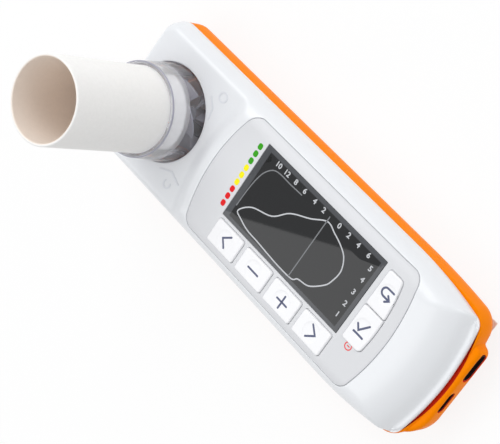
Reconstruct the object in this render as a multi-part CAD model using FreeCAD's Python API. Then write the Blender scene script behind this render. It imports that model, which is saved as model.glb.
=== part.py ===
import FreeCAD, Part
import math
import os
from FreeCAD import Vector

# A hand-held spirometer that lies on its back. Millimetres. X runs from the head, which
# holds the turbine, to the foot, which holds the two sockets. +Y is the side away from the
# four side keys, and Z rises from the back face. The origin is under the middle of the body.

# Body
body_length = 163.5
body_width = 55.2
seam_height = 14.0
panel_height = 24.0
head_height = 22.0
wall = 2.4
front_rounding = 8.0
back_rounding = 8.5
head_bow = 200.0
head_corner = 9.0
crease_rounding = 2.5
taper_setback = 37.75
front_taper = 140.0
back_taper = 250.0

# Foot of the body: the rim of the front shell, the shadow groove and the socket boss
foot_bow = 95.25
rim_setback = 2.7
rim_height = 1.7
rim_width = 1.65
rim_corner = 4.2
rim_edge = 0.8
back_setback = 1.85
back_corner = 8.6
groove_depth = 1.9
groove_width = 2.8
groove_height = 1.1
groove_inset = 6.1
foot_wall = 3.9
boss_low_margin = 6.9
boss_high_margin = 3.8
boss_sweep = 13.0
boss_sweep_span = 11.5
boss_turn = 3.0
boss_bend = 75.0
boss_foot = 5.0
boss_drop = 0.3
boss_edge = 1.4
boss_rounding = 2.8

# Display panel
panel_head_setback = 50.15
panel_head_radius = 65.0
panel_foot_setback = 22.95
panel_offset_y = 0.6
panel_margin = 3.9
panel_corner = 5.0
panel_thickness = 1.2
panel_groove = 0.3
lip_width = 3.7
head_lip = 2.5
head_step = 3.0
head_crown = 0.06
slope_run = 14.5
slope_drop = 7.8
slope_middle_run = 0.6
slope_middle_drop = 0.31

# Display
window_head_margin = 15.0
window_foot_margin = 2.4
window_key_margin = 1.45
window_side_margin = 4.35
window_gap = 0.1
window_ledge = 1.4
lcd_end_lap = 0.3
lcd_side_lap = 0.6
lcd_thickness = 2.6
lcd_gap = 0.3
frame_border = 2.5

# Keys
side_key_names = ("key_back", "key_minus", "key_plus", "key_forward")
key_width = 9.0
key_spacing = 2.0
key_row_inset = 0.3
side_key_inset = 7.3
key_corner = 0.8
key_edge = 0.6
key_proud = 0.7
key_gap = 0.3
key_travel = 0.6
key_flange = 0.7
key_flange_thickness = 1.2
key_lift = 0.2
dish_radius = 3.6
dish_depth = 0.25
foot_key_length = 13.6
foot_key_reach = 4.8
foot_key_shift = 0.15
foot_key_gap = 0.5
foot_key_low_inset = 1.15
foot_key_high_inset = 0.75
foot_key_corner = 2.5

# Boards and what they carry
board_bottom = 12.6
board_thickness = 1.6
board_head_gap = 2.1
board_foot_setback = 6.75
board_inset = 5.2
board_gap = 0.3
dome_height = 0.45
dome_radius = 2.5
mat_thickness = 1.0
mat_gap = 0.05
mat_margin = 1.2
post_radius = 2.4
chips = ((-0.25, 0.03, 12.0, 12.0, 1.2), (0.08, 0.1, 9.0, 7.0, 1.0), (0.32, -0.1, 6.0, 6.0, 1.4),
         (0.02, -0.3, 5.0, 4.0, 0.9))
buzzer_radius = 6.0
buzzer_height = 3.2
buzzer_setback = 3.0
buzzer_hole_radius = 1.0
buzzer_hole_depth = 0.6
radio_length = 13.0
radio_width = 17.0
radio_plate = 0.8
radio_can_length = 9.0
radio_can_width = 12.0
radio_can_height = 1.4
radio_can_shift = 1.5
radio_setback = 2.5
usb_y = -4.9
usb_width = 7.7
usb_height = 3.0
usb_slot = 2.4
usb_flare = 0.35
sensor_port_y = 9.8
sensor_port_width = 10.4
sensor_port_height = 5.2
sensor_port_slot = 3.8
sensor_port_flare = 0.6
port_depth = 9.0
port_recess = 1.3
port_gap = 0.3
port_wall = 0.5
port_back = 1.5
tongue_setback = 1.2
tongue_gap = 1.1
tongue_thickness = 0.8

# Turbine
tube_setback = 21.75
mouthpiece_radius = 15.0
mouthpiece_wall = 1.1
mouthpiece_edge = 0.35
mouthpiece_length = 53.3
mouthpiece_gap = 0.2
mouthpiece_seat = 29.4
seat_gap = 0.1
collar_height = 37.8
collar_wall = 1.4
collar_edge = 0.4
turbine_flange_radius = 17.4
turbine_flange_height = 22.6
turbine_radius = 16.2
turbine_bore = 14.2
turbine_foot = 1.0
turbine_gap = 0.3
socket_wall = 2.4
lug_count = 3
lug_reach = 1.1
lug_height = 2.0
lug_foot = 15.5
lug_half_angle = 8.0
lug_gap = 0.3
lug_gap_angle = 1.5
unlock_angle = 25.0
blade_count = 6
blade_thickness = 1.0
blade_twist = 48.0
blade_steps = 4
blade_gap = 0.05
blade_root = 0.6
blade_setback = 0.4
hub_radius = 3.2
front_deflector_foot = 20.6
front_deflector_height = 7.6
rear_deflector_foot = 2.7
rear_deflector_height = 6.0
nose_radius = 1.6
bearing_radius = 1.5
bearing_height = 2.8
shaft_radius = 0.5
shaft_play = 0.05
bearing_floor = 0.8
vane_radius = 13.0
vane_thickness = 0.7
vane_foot = 10.0
vane_height = 8.0
vane_sleeve = 1.2
vane_corner = 2.0

# Optical pick-up beside the turbine
pickup_height = 11.5
pickup_pitch = 4.2
pickup_radius = 1.5
pickup_gap = 0.15
pickup_setback = 0.2
pickup_board_gap = 0.3
pickup_board_thickness = 1.2
pickup_board_width = 26.0

# Batteries and the door over them
cell_length = 44.5
cell_radius = 5.25
cell_gap = 0.25
cell_edge = 0.5
cell_nub_radius = 1.9
cell_nub_length = 0.8
bay_x = 4.0
bay_spring_room = 3.0
bay_plate_room = 0.8
tray_wall = 1.2
tray_roof = 0.4
tray_rib = 0.8
door_thickness = 1.1
door_margin = 2.0
door_tail = 3.4
door_gap = 0.2
door_corner = 2.0
contact_thickness = 0.3
contact_width = 6.0
contact_height = 6.4
spring_shoulder = 1.6
spring_leaf = 0.35
spring_play = 0.1

# Screws
head_screw_gap = 4.5
head_screw_inset = 10.6
foot_screw_setback = 15.75
foot_screw_inset = 11.6
screw_radius = 1.0
screw_head_radius = 2.1
screw_head_height = 1.4
screw_sink = 2.6
screw_tip = 18.6
screw_play = 0.2
screw_bite = 0.05
screw_tip_room = 0.5
boss_radius = 3.3
boss_cap = 0.5
spigot_radius = 2.1
board_hole_gap = 0.3
door_screw_head = 0.6
door_screw_tip = 7.0
recess_width = 0.6
recess_reach = 1.2
recess_depth = 0.4

# Values worked out from the ones above
half_length = body_length / 2
half_width = body_width / 2
taper_start = half_length - taper_setback
rim_x = half_length - rim_setback
back_foot_x = half_length - back_setback
foot_centre = rim_x - foot_bow
ledge_height = seam_height - groove_height
groove_half_span = half_width - groove_inset
boss_low_y = usb_y - boss_low_margin
boss_high_y = sensor_port_y + boss_high_margin
panel_head_x = panel_head_setback - half_length
panel_foot_x = half_length - panel_foot_setback
panel_foot_radius = panel_foot_x - foot_centre
head_centre = panel_head_x + panel_head_radius
panel_low_y = panel_offset_y - half_width + panel_margin
panel_high_y = panel_offset_y + half_width - panel_margin
foot_key_x = panel_foot_x - foot_key_length
side_key_y = panel_low_y + side_key_inset
window_head_x = panel_head_x + window_head_margin
window_foot_x = foot_key_x - window_foot_margin
window_low_y = side_key_y + key_width / 2 + window_key_margin
window_high_y = panel_high_y - window_side_margin
window_length = window_foot_x - window_head_x
window_width = window_high_y - window_low_y
window_x = (window_head_x + window_foot_x) / 2
window_y = (window_low_y + window_high_y) / 2
lcd_length = window_length + 2 * lcd_end_lap
lcd_width = window_width + 2 * lcd_side_lap
key_pitch = (window_length - 2 * key_row_inset + key_spacing) / len(side_key_names)
key_length = key_pitch - key_spacing
foot_key_low_y = window_low_y + foot_key_low_inset
foot_key_high_y = window_high_y - foot_key_high_inset
foot_key_split = window_y + foot_key_shift
shell_floor = panel_height - wall
board_top = board_bottom + board_thickness
tube_x = tube_setback - half_length
liner_bore = turbine_radius + turbine_gap
liner_radius = liner_bore + socket_wall
liner_top = head_height - wall - seat_gap
pickup_face_x = tube_x + liner_radius + pickup_board_gap
board_head_x = pickup_face_x + pickup_board_thickness + board_head_gap
board_foot_x = half_length - board_foot_setback
board_half_width = half_width - board_inset
head_screw_x = board_head_x + head_screw_gap
head_screw_y = half_width - head_screw_inset
foot_screw_x = half_length - foot_screw_setback
foot_screw_y = half_width - foot_screw_inset
screw_places = ((head_screw_x, head_screw_y), (head_screw_x, -head_screw_y),
                (foot_screw_x, foot_screw_y), (foot_screw_x, -foot_screw_y))
far = 3 * body_length


def box(x0, x1, y0, y1, z0, z1):
    return Part.makeBox(x1 - x0, y1 - y0, z1 - z0, Vector(x0, y0, z0))


def rod(x, y, z0, z1, radius):
    return Part.makeCylinder(radius, z1 - z0, Vector(x, y, z0))


def tube(x, y, z0, z1, inner, outer):
    return rod(x, y, z0, z1, outer).cut(rod(x, y, z0, z1, inner))


def centred_box(x, y, length, width, z0, z1):
    return box(x - length / 2, x + length / 2, y - width / 2, y + width / 2, z0, z1)


def upright_edges(shape):
    def upright(edge):
        bounds = edge.BoundBox
        return bounds.ZLength > 0.1 and bounds.XLength < 0.01 and bounds.YLength < 0.01

    return [edge for edge in shape.Edges if upright(edge)]


def level_edges(shape, height):
    def level(edge):
        bounds = edge.BoundBox
        return abs(bounds.ZMin - height) < 0.001 and abs(bounds.ZMax - height) < 0.001

    return [edge for edge in shape.Edges if level(edge)]


def rounded_block(x, y, length, width, z0, z1, corner):
    block = centred_box(x, y, length, width, z0, z1)
    return block.makeFillet(corner, upright_edges(block))


def plan_arc(centre, radius, start, end):
    first = math.atan2(start[1] - centre[1], start[0] - centre[0])
    turn = math.atan2(end[1] - centre[1], end[0] - centre[0]) - first
    turn = (turn + math.pi) % (2 * math.pi) - math.pi
    middle = first + turn / 2
    crest = Vector(centre[0] + radius * math.cos(middle), centre[1] + radius * math.sin(middle), 0)
    return Part.Arc(Vector(*start, 0), crest, Vector(*end, 0)).toShape()


def plan_line(start, end):
    return Part.makeLine(Vector(*start, 0), Vector(*end, 0))


def upper_crossing(first, first_radius, second, second_radius):
    dx = second[0] - first[0]
    dy = second[1] - first[1]
    apart = math.hypot(dx, dy)
    along = (first_radius ** 2 - second_radius ** 2 + apart ** 2) / (2 * apart)
    aside = math.sqrt(first_radius ** 2 - along ** 2)
    base_x = first[0] + along * dx / apart
    base_y = first[1] + along * dy / apart
    crossings = [(base_x - side * aside * dy / apart, base_y + side * aside * dx / apart)
                 for side in (-1, 1)]
    return max(crossings, key=lambda point: point[1])


def body_plan(inset, taper, foot_x):
    """Outline of a shell seen from above: bowed head, straight then tapering sides, bowed foot."""
    side = half_width - inset
    head_middle = (head_bow - half_length, 0)
    head_x = head_middle[0] - math.sqrt((head_bow - inset) ** 2 - side ** 2)
    taper_middle = (taper_start, half_width - taper)
    foot_middle = (foot_centre, 0)
    foot_radius = foot_x - foot_centre - inset
    corner = upper_crossing(taper_middle, taper - inset, foot_middle, foot_radius)
    mirror = (corner[0], -corner[1])
    edges = [
        plan_arc(head_middle, head_bow - inset, (head_x, -side), (head_x, side)),
        plan_line((head_x, side), (taper_start, side)),
        plan_arc(taper_middle, taper - inset, (taper_start, side), corner),
        plan_arc(foot_middle, foot_radius, corner, mirror),
        plan_arc((taper_start, -taper_middle[1]), taper - inset, mirror, (taper_start, -side)),
        plan_line((taper_start, -side), (head_x, -side)),
    ]
    return Part.Face(Part.Wire(edges))


def body_prism(inset, taper, foot_x, z0, z1, head_round, foot_round):
    face = body_plan(inset, taper, foot_x)
    face.translate(Vector(0, 0, z0))
    prism = face.extrude(Vector(0, 0, z1 - z0))
    uprights = upright_edges(prism)
    prism = prism.makeFillet(head_round, [edge for edge in uprights if edge.BoundBox.XMax < 0])
    if foot_round:
        foot_side = (taper_start + foot_x) / 2
        foot_edges = [edge for edge in upright_edges(prism) if edge.BoundBox.XMin > foot_side]
        prism = prism.makeFillet(foot_round, foot_edges)
    return prism


def turned(centre_x, points, edges):
    """Ring turned about an upright axis, from a closed profile of (radius, height) points."""
    wire = Part.Wire(edges + [side_line(points[i], points[i + 1]) for i in range(len(points) - 1)])
    ring = Part.Face(wire).revolve(Vector(0, 0, 0), Vector(0, 0, 1), 360)
    return solid(ring.translated(Vector(centre_x, 0, 0)))


def side_line(start, end):
    return Part.makeLine(Vector(start[0], 0, start[1]), Vector(end[0], 0, end[1]))


def side_arc(start, middle, end):
    points = [Vector(point[0], 0, point[1]) for point in (start, middle, end)]
    return Part.Arc(*points).toShape()


def solid(shape):
    """The one solid that a shape holds, facing outwards."""
    result = shape.Solids[0]
    if result.Volume < 0:
        result.reverse()
    return result


def foot_slope(inset):
    """What is cut away above the sloping foot of the front shell and the flat rim round it."""
    crest = (panel_foot_radius + lip_width - inset, panel_height - inset)
    toe = (crest[0] + slope_run, crest[1] - slope_drop)
    middle = (crest[0] + slope_middle_run * slope_run, crest[1] - slope_middle_drop * slope_drop)
    rim_level = seam_height + rim_height - inset
    rim_start = (rim_x - foot_centre - rim_width - inset, rim_level)
    points = [toe, rim_start, (far, rim_level), (far, far), (crest[0], far), crest]
    return turned(foot_centre, points, [side_arc(crest, middle, toe)])


def head_cut(inset):
    """What is cut away above the flat round the turbine, with an S-shaped step at its edge."""
    crest = (panel_head_radius + head_lip, panel_height + head_crown - inset)
    drop = (panel_height + head_crown - head_height) / 2
    bend = (head_step ** 2 + drop ** 2) / (2 * drop)
    half_turn = math.asin(head_step / bend) / 2
    reach = bend * math.sin(half_turn)
    dip = bend * (1 - math.cos(half_turn))
    knee = (crest[0] + head_step, crest[1] - drop)
    toe = (knee[0] + head_step, knee[1] - drop)
    upper = side_arc(crest, (crest[0] + reach, crest[1] - dip), knee)
    lower = side_arc(knee, (toe[0] - reach, toe[1] + dip), toe)
    points = [toe, (far, toe[1]), (far, far), (crest[0], far), crest]
    return turned(head_centre, points, [upper, lower])


def front_form(inset):
    """Outer form of the front shell, or the same form a wall's thickness further in."""
    top = panel_height - inset
    form = body_prism(inset, front_taper, rim_x, seam_height, top, head_corner - inset, 0)
    foot_end = form.BoundBox.XMax - 0.01
    top_edges = [edge for edge in level_edges(form, top) if edge.BoundBox.XMax < foot_end]
    form = form.makeFillet(front_rounding - inset, top_edges)
    form = form.cut(foot_slope(inset)).cut(head_cut(inset))
    outline = body_prism(inset, front_taper, rim_x, seam_height, top, head_corner - inset,
                         rim_corner - inset)
    return solid(form.common(outline))


def soften_head(form):
    """Rounds the edge between the flat round the turbine and the body's side."""
    edges = [edge for edge in level_edges(form, head_height) if edge.BoundBox.XMin < -half_length / 2]
    inner = [edge for edge in edges if edge.BoundBox.XMin > tube_x and edge.BoundBox.YLength > half_width]
    edges = [edge for edge in edges if not any(edge.isSame(other) for other in inner)]
    return solid(form.makeFillet(crease_rounding, edges))


def soften_rim(form):
    """Rounds the outer edge of the flat rim at the foot."""
    rim_level = seam_height + rim_height
    reach = rim_x - foot_centre - rim_width / 2
    edges = []
    for edge in level_edges(form, rim_level):
        middle = edge.valueAt((edge.FirstParameter + edge.LastParameter) / 2)
        if middle.x > taper_start and math.hypot(middle.x - foot_centre, middle.y) > reach:
            edges.append(edge)
    return solid(form.makeFillet(rim_edge, edges))


def back_form(inset):
    """Outer form of the rear shell, or the same form a wall's thickness further in."""
    form = body_prism(inset, back_taper, back_foot_x, inset, seam_height, head_corner - inset,
                      back_corner - inset)
    return solid(form.makeFillet(back_rounding - inset, level_edges(form, inset)))


def cavity(clearance):
    """Space inside both shells, less a clearance all round."""
    inset = wall + clearance
    space = front_form(inset).fuse(back_form(inset))
    reach = rim_x - foot_centre - foot_wall - clearance
    return solid(space.common(rod(foot_centre, 0, 0, far, reach)))


def socket_boss():
    """Bulge at the foot that the two sockets open through, swept back on its -Y side."""
    root = back_foot_x - back_corner
    bend = math.radians(boss_bend)
    low_middle = (half_length - boss_sweep, boss_low_y)
    low_end = (low_middle[0] + math.sqrt(boss_sweep ** 2 - boss_sweep_span ** 2),
               boss_low_y - boss_sweep_span)
    high_middle = (half_length - boss_turn, boss_high_y)
    knee = (high_middle[0] + boss_turn * math.cos(bend), boss_high_y + boss_turn * math.sin(bend))
    dip_middle = (2 * knee[0] - high_middle[0], 2 * knee[1] - high_middle[1])
    high_end = (dip_middle[0] - boss_turn, dip_middle[1])
    low_tip = (half_length, boss_low_y)
    high_tip = (half_length, boss_high_y)
    face_edges = [
        plan_arc(low_middle, boss_sweep, low_end, low_tip),
        plan_line(low_tip, high_tip),
        plan_arc(high_middle, boss_turn, high_tip, knee),
        plan_arc(dip_middle, boss_turn, knee, high_end),
    ]
    root_edges = [
        plan_line(high_end, (root, high_end[1])),
        plan_line((root, high_end[1]), (root, low_end[1])),
        plan_line((root, low_end[1]), low_end),
    ]
    top = seam_height - boss_drop
    face = Part.Face(Part.Wire(face_edges + root_edges))
    face.translate(Vector(0, 0, boss_foot))
    block = face.extrude(Vector(0, 0, top - boss_foot))
    face_x = high_end[0] + 0.01
    block = block.makeFillet(boss_edge, [edge for edge in level_edges(block, top)
                                         if edge.BoundBox.XMax > face_x])
    return solid(block.makeFillet(boss_rounding, [edge for edge in level_edges(block, boss_foot)
                                                  if edge.BoundBox.XMax > face_x]))


def shadow_groove():
    """Slit in the rear shell under the front shell's rim and just outside it."""
    inner = rim_x - foot_centre - groove_depth
    ring = tube(foot_centre, 0, ledge_height, seam_height, inner, inner + groove_width)
    return ring.common(box(taper_start, half_length, -groove_half_span, groove_half_span, 0, far))


def panel_prism(growth):
    """Upright prism on the display panel's outline, grown outwards by a gap."""
    head_radius = panel_head_radius + growth
    foot_radius = panel_foot_radius + growth
    low = panel_low_y - growth
    high = panel_high_y + growth
    strip = box(-half_length, half_length, low, high, seam_height, far)
    prism = strip.common(rod(head_centre, 0, 0, far, head_radius))
    prism = prism.common(rod(foot_centre, 0, 0, far, foot_radius))
    return solid(prism.makeFillet(panel_corner + growth, upright_edges(prism)))


def side_key_places():
    start = window_head_x + key_row_inset + key_length / 2
    return [(start + index * key_pitch, side_key_y) for index in range(len(side_key_names))]


def side_key_outline(place, growth):
    return rounded_block(place[0], place[1], key_length + 2 * growth, key_width + 2 * growth, 0, far,
                         key_corner + growth)


def foot_key_outline(upper, growth):
    """Outline of one of the two keys at the foot, whose outer end follows the panel's arc."""
    middle = foot_key_split
    low = middle + foot_key_gap / 2 if upper else foot_key_low_y
    high = foot_key_high_y if upper else middle - foot_key_gap / 2
    reach = panel_foot_radius - foot_key_reach + growth
    block = box(foot_key_x - growth, half_length, low - growth, high + growth, 0, far)
    block = block.common(rod(foot_centre, 0, 0, far, reach))
    outer_y = high + growth if upper else low - growth

    def far_corner(edge):
        bounds = edge.BoundBox
        return abs(bounds.YMin - outer_y) < 0.01 and bounds.XMin > foot_key_x + 1

    uprights = upright_edges(block)
    block = block.makeFillet(foot_key_corner + growth, [e for e in uprights if far_corner(e)])
    others = [e for e in upright_edges(block) if e.BoundBox.XMin < foot_key_x + 1]
    return solid(block.makeFillet(key_corner + growth, others))


def key_outlines(growth):
    outlines = [side_key_outline(place, growth) for place in side_key_places()]
    return outlines + [foot_key_outline(True, growth), foot_key_outline(False, growth)]


def slab_of(outline, z0, z1):
    return solid(outline.common(box(-far, far, -far, far, z0, z1)))


def key(outline):
    """One key: a cap with a shallow dish, and a flange that stops it under the shell."""
    top = panel_height + key_proud
    flange_top = shell_floor - key_lift
    flange_bottom = flange_top - key_flange_thickness
    cap = slab_of(outline, flange_bottom, top)
    cap = cap.makeFillet(key_edge, level_edges(cap, top))
    bounds = cap.BoundBox
    flange = box(bounds.XMin - key_flange, bounds.XMax + key_flange, bounds.YMin, bounds.YMax,
                 flange_bottom, flange_top)
    dish = (dish_radius ** 2 + dish_depth ** 2) / (2 * dish_depth)
    centre = Vector((bounds.XMin + bounds.XMax) / 2, (bounds.YMin + bounds.YMax) / 2,
                    top - dish_depth + dish)
    return solid(cap.fuse(flange).cut(Part.makeSphere(dish, centre)))


def key_centres():
    centres = []
    for outline in key_outlines(0):
        bounds = outline.BoundBox
        centres.append(((bounds.XMin + bounds.XMax) / 2, (bounds.YMin + bounds.YMax) / 2))
    return centres


def front_shell():
    shell = soften_rim(soften_head(front_form(0))).cut(cavity(0))
    inner = front_form(wall / 2)
    for x, y in screw_places:
        pillar = rod(x, y, board_top + seat_gap, panel_height, boss_radius).common(inner)
        shell = shell.fuse(pillar)
    for x, y in screw_places:
        shell = shell.cut(rod(x, y, seam_height, screw_tip + screw_tip_room,
                              screw_radius + screw_bite))
    recess = panel_prism(panel_groove).common(front_form(0).cut(front_form(panel_thickness)))
    shell = shell.cut(recess)
    for outline in key_outlines(key_gap):
        shell = shell.cut(outline)
    shell = shell.cut(centred_box(window_x, window_y, window_length - 2 * window_ledge,
                                  window_width - 2 * window_ledge, seam_height, far))
    return solid(shell.cut(rod(tube_x, 0, 0, far, turbine_flange_radius + turbine_gap)))


def front_panel():
    panel = panel_prism(0).common(front_form(0).cut(front_form(panel_thickness)))
    for outline in key_outlines(key_gap):
        panel = panel.cut(outline)
    opening = centred_box(window_x, window_y, window_length + 2 * window_gap,
                          window_width + 2 * window_gap, seam_height, far)
    return solid(panel.cut(opening))


def display_window():
    return centred_box(window_x, window_y, window_length, window_width,
                       panel_height - panel_thickness, panel_height)


def lcd_panel():
    top = shell_floor - lcd_gap
    return centred_box(window_x, window_y, lcd_length, lcd_width, top - lcd_thickness, top)


def lcd_frame():
    top = shell_floor - lcd_gap - lcd_thickness
    outer = centred_box(window_x, window_y, lcd_length, lcd_width, board_top, top)
    inner = centred_box(window_x, window_y, lcd_length - 2 * frame_border,
                        lcd_width - 2 * frame_border, board_top, top)
    return outer.cut(inner)


def key_mat():
    """Rubber mat under the six keys, with a post below each of them."""
    base = board_top + dome_height + mat_gap
    top = base + mat_thickness
    post_top = shell_floor - key_lift - key_flange_thickness - key_travel - seat_gap
    centres = key_centres()
    side_low = side_key_y - key_width / 2 - mat_margin
    side_high = window_y - lcd_width / 2 - lcd_gap
    foot_low = window_x + lcd_length / 2 + lcd_gap
    foot_high = panel_foot_x - foot_key_reach + mat_margin
    side_start = centres[0][0] - key_length / 2 - mat_margin
    mat = box(side_start, foot_high, side_low, side_high, base, top)
    mat = mat.fuse(box(foot_low, foot_high, side_low, foot_key_high_y + mat_margin, base, top))
    for x, y in centres:
        mat = mat.fuse(rod(x, y, base, post_top, post_radius))
    return solid(mat.removeSplitter())


def dome_switches():
    ball = (dome_radius ** 2 + dome_height ** 2) / (2 * dome_height)
    domes = []
    for x, y in key_centres():
        whole = Part.makeSphere(ball, Vector(x, y, board_top + dome_height - ball))
        domes.append(solid(whole.common(rod(x, y, board_top, far, dome_radius))))
    return Part.makeCompound(domes)


def main_board():
    board = box(board_head_x, board_foot_x, -board_half_width, board_half_width, board_bottom, board_top)
    board = board.common(cavity(board_gap))
    for x, y in screw_places:
        board = board.cut(rod(x, y, board_bottom, board_top, spigot_radius + board_hole_gap))
    return solid(board)


def board_chips():
    """Processor, memory, supply and converter chips on top of the board, inside the frame."""
    return Part.makeCompound([
        centred_box(window_x + share_x * window_length, window_y + share_y * window_width, length,
                    width, board_top, board_top + height)
        for share_x, share_y, length, width, height in chips])


def buzzer():
    x = board_head_x + buzzer_setback + buzzer_radius
    top = board_top + buzzer_height
    case = rod(x, 0, board_top, top, buzzer_radius)
    return solid(case.cut(rod(x, 0, top - buzzer_hole_depth, top, buzzer_hole_radius)))


def radio_module():
    x = board_foot_x - radio_setback - radio_length / 2
    plate_top = board_top + radio_plate
    plate = centred_box(x, 0, radio_length, radio_width, board_top, plate_top)
    return solid(plate.fuse(centred_box(x - radio_can_shift, 0, radio_can_length, radio_can_width,
                                        plate_top, plate_top + radio_can_height)))


def port_mouth(y, width, height, growth):
    """Space of a socket at the foot, from its back end to its face inside the boss."""
    face = half_length - port_recess
    return box(face - port_depth - growth, face + growth, y - width / 2 - growth,
               y + width / 2 + growth, board_bottom - height, board_bottom)


def slot_outline(x, y, level, half_span, radius):
    """Round-ended outline across the foot, at one place along X."""
    low = y - half_span
    high = y + half_span
    return Part.Wire([
        Part.makeLine(Vector(x, low, level - radius), Vector(x, high, level - radius)),
        Part.Arc(Vector(x, high, level - radius), Vector(x, high + radius, level),
                 Vector(x, high, level + radius)).toShape(),
        Part.makeLine(Vector(x, high, level + radius), Vector(x, low, level + radius)),
        Part.Arc(Vector(x, low, level + radius), Vector(x, low - radius, level),
                 Vector(x, low, level - radius)).toShape(),
    ])


def port_slot(y, width, height, slot, flare):
    """Slot from a socket's face out through the boss, wider at its mouth."""
    start = half_length - port_recess - port_depth
    level = board_bottom - height / 2
    half_span = (width - slot) / 2
    run = half_length + flare - start
    opening = Part.Face(slot_outline(start, y, level, half_span, slot / 2)).extrude(Vector(run, 0, 0))
    mouth = Part.makeLoft([
        slot_outline(half_length - flare, y, level, half_span, slot / 2),
        slot_outline(half_length + flare, y, level, half_span, slot / 2 + 2 * flare),
    ], True, True)
    return opening.fuse(mouth)


def port_shell(y, width, height):
    """Metal shell of a socket, closed at the back, with a tongue inside."""
    shell = port_mouth(y, width, height, 0)
    face = half_length - port_recess
    back = face - port_depth
    level = board_bottom - height / 2
    side = width / 2 - port_wall
    hollow = box(back + port_back, face, y - side, y + side, board_bottom - height + port_wall,
                 board_bottom - port_wall)
    half = side - tongue_gap
    tongue = box(back + port_back / 2, face - tongue_setback, y - half, y + half,
                 level - tongue_thickness / 2, level + tongue_thickness / 2)
    return solid(shell.cut(hollow).fuse(tongue))


def bay_bounds():
    """Ends and half width of the space for the two cells."""
    low = bay_x - cell_length / 2 - bay_spring_room
    high = bay_x + cell_length / 2 + cell_nub_length + bay_plate_room
    return low, high, cell_offset() + cell_radius + cell_gap


def door_bounds(growth):
    low, high, side = bay_bounds()
    return low - door_margin - growth, door_screw_x() + door_tail + growth, side + door_margin + growth


def door_plate(growth, thickness):
    low, high, side = door_bounds(growth)
    return rounded_block((low + high) / 2, 0, high - low, 2 * side, 0, thickness, door_corner + growth)


def door_screw_x():
    low, high, side = bay_bounds()
    return high + tray_wall + seat_gap + boss_radius


def rear_shell():
    shell = back_form(0).fuse(socket_boss()).cut(shadow_groove()).cut(cavity(0))
    low, high, side = bay_bounds()
    for x, y in screw_places:
        pillar = rod(x, y, wall / 2, board_bottom, boss_radius)
        pillar = pillar.fuse(rod(x, y, board_bottom, board_top, spigot_radius))
        shell = shell.fuse(pillar)
    for x, y in screw_places:
        seat = screw_sink + screw_head_height
        shell = shell.cut(rod(x, y, 0, seat, screw_head_radius + screw_play))
        shell = shell.cut(rod(x, y, 0, far, screw_radius + screw_play))
    x = door_screw_x()
    tip = door_screw_tip + screw_tip_room
    shell = shell.fuse(rod(x, 0, wall / 2, tip + boss_cap, boss_radius))
    shell = shell.cut(door_plate(door_gap, door_thickness + seat_gap))
    shell = shell.cut(rod(x, 0, 0, tip, screw_radius + screw_bite))
    shell = shell.cut(box(low, high, -side, side, 0, wall + seat_gap))
    shell = shell.cut(port_mouth(usb_y, usb_width, usb_height, port_gap))
    shell = shell.cut(port_mouth(sensor_port_y, sensor_port_width, sensor_port_height, port_gap))
    shell = shell.cut(port_slot(usb_y, usb_width, usb_height, usb_slot, usb_flare))
    shell = shell.cut(port_slot(sensor_port_y, sensor_port_width, sensor_port_height,
                                sensor_port_slot, sensor_port_flare))
    shell = shell.cut(rod(tube_x, 0, 0, seam_height, liner_bore))
    return solid(shell.removeSplitter())


def battery_tray():
    low, high, side = bay_bounds()
    roof = door_thickness + 2 * cell_gap + 2 * cell_radius
    outer = box(low - tray_wall, high + tray_wall, -side - tray_wall, side + tray_wall, wall,
                roof + tray_roof)
    tray = outer.cut(box(low, high, -side, side, 0, roof))
    return solid(tray.fuse(box(low, high, -tray_rib / 2, tray_rib / 2, wall, roof)))


def battery_cell(y):
    start = bay_x - cell_length / 2
    level = door_thickness + cell_gap + cell_radius
    can = Part.makeCylinder(cell_radius, cell_length, Vector(start, y, level), Vector(1, 0, 0))
    can = can.makeFillet(cell_edge, can.Edges)
    nub = Part.makeCylinder(cell_nub_radius, cell_edge + cell_nub_length,
                            Vector(start + cell_length - cell_edge, y, level), Vector(1, 0, 0))
    return solid(can.fuse(nub))


def cell_offset():
    return tray_rib / 2 + cell_gap + cell_radius


def battery_springs():
    """Bent leaf contacts at the cells' flat ends."""
    low, high, side = bay_bounds()
    level = door_thickness + cell_gap + cell_radius
    face = low + contact_thickness
    tip = bay_x - cell_length / 2 - spring_play
    half = contact_height / 2
    points = [(low, level - half), (low, level + half), (face, level + half),
              (face, level + spring_shoulder), (tip, level), (tip - spring_leaf, level - spring_leaf),
              (face, level + spring_shoulder - 2 * spring_leaf), (face, level - half)]
    profile = Part.Wire([side_line(points[i], points[(i + 1) % len(points)])
                         for i in range(len(points))])
    leaf = Part.Face(profile).extrude(Vector(0, contact_width, 0))
    places = [sign * cell_offset() - contact_width / 2 for sign in (-1, 1)]
    return Part.makeCompound([solid(leaf.translated(Vector(0, y, 0))) for y in places])


def battery_contacts():
    """Flat contacts at the cells' raised ends."""
    low, high, side = bay_bounds()
    level = door_thickness + cell_gap + cell_radius
    x = high - contact_thickness / 2
    plates = [centred_box(x, sign * cell_offset(), contact_thickness, contact_width,
                          level - contact_height / 2, level + contact_height / 2)
              for sign in (-1, 1)]
    return Part.makeCompound(plates)


def battery_door():
    door = door_plate(0, door_thickness)
    x = door_screw_x()
    door = door.cut(rod(x, 0, 0, door_screw_head + seat_gap, screw_head_radius + screw_play))
    return solid(door.cut(rod(x, 0, 0, door_thickness, screw_radius + screw_play)))


def cross_recess(x, y, z0, z1):
    cross = centred_box(x, y, 2 * recess_reach, recess_width, z0, z1)
    return cross.fuse(centred_box(x, y, recess_width, 2 * recess_reach, z0, z1))


def screw(x, y, head_bottom, head_height, tip):
    body = rod(x, y, head_bottom, head_bottom + head_height, screw_head_radius)
    body = body.fuse(rod(x, y, head_bottom + head_height, tip, screw_radius))
    return solid(body.cut(cross_recess(x, y, head_bottom, head_bottom + recess_depth)))


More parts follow.
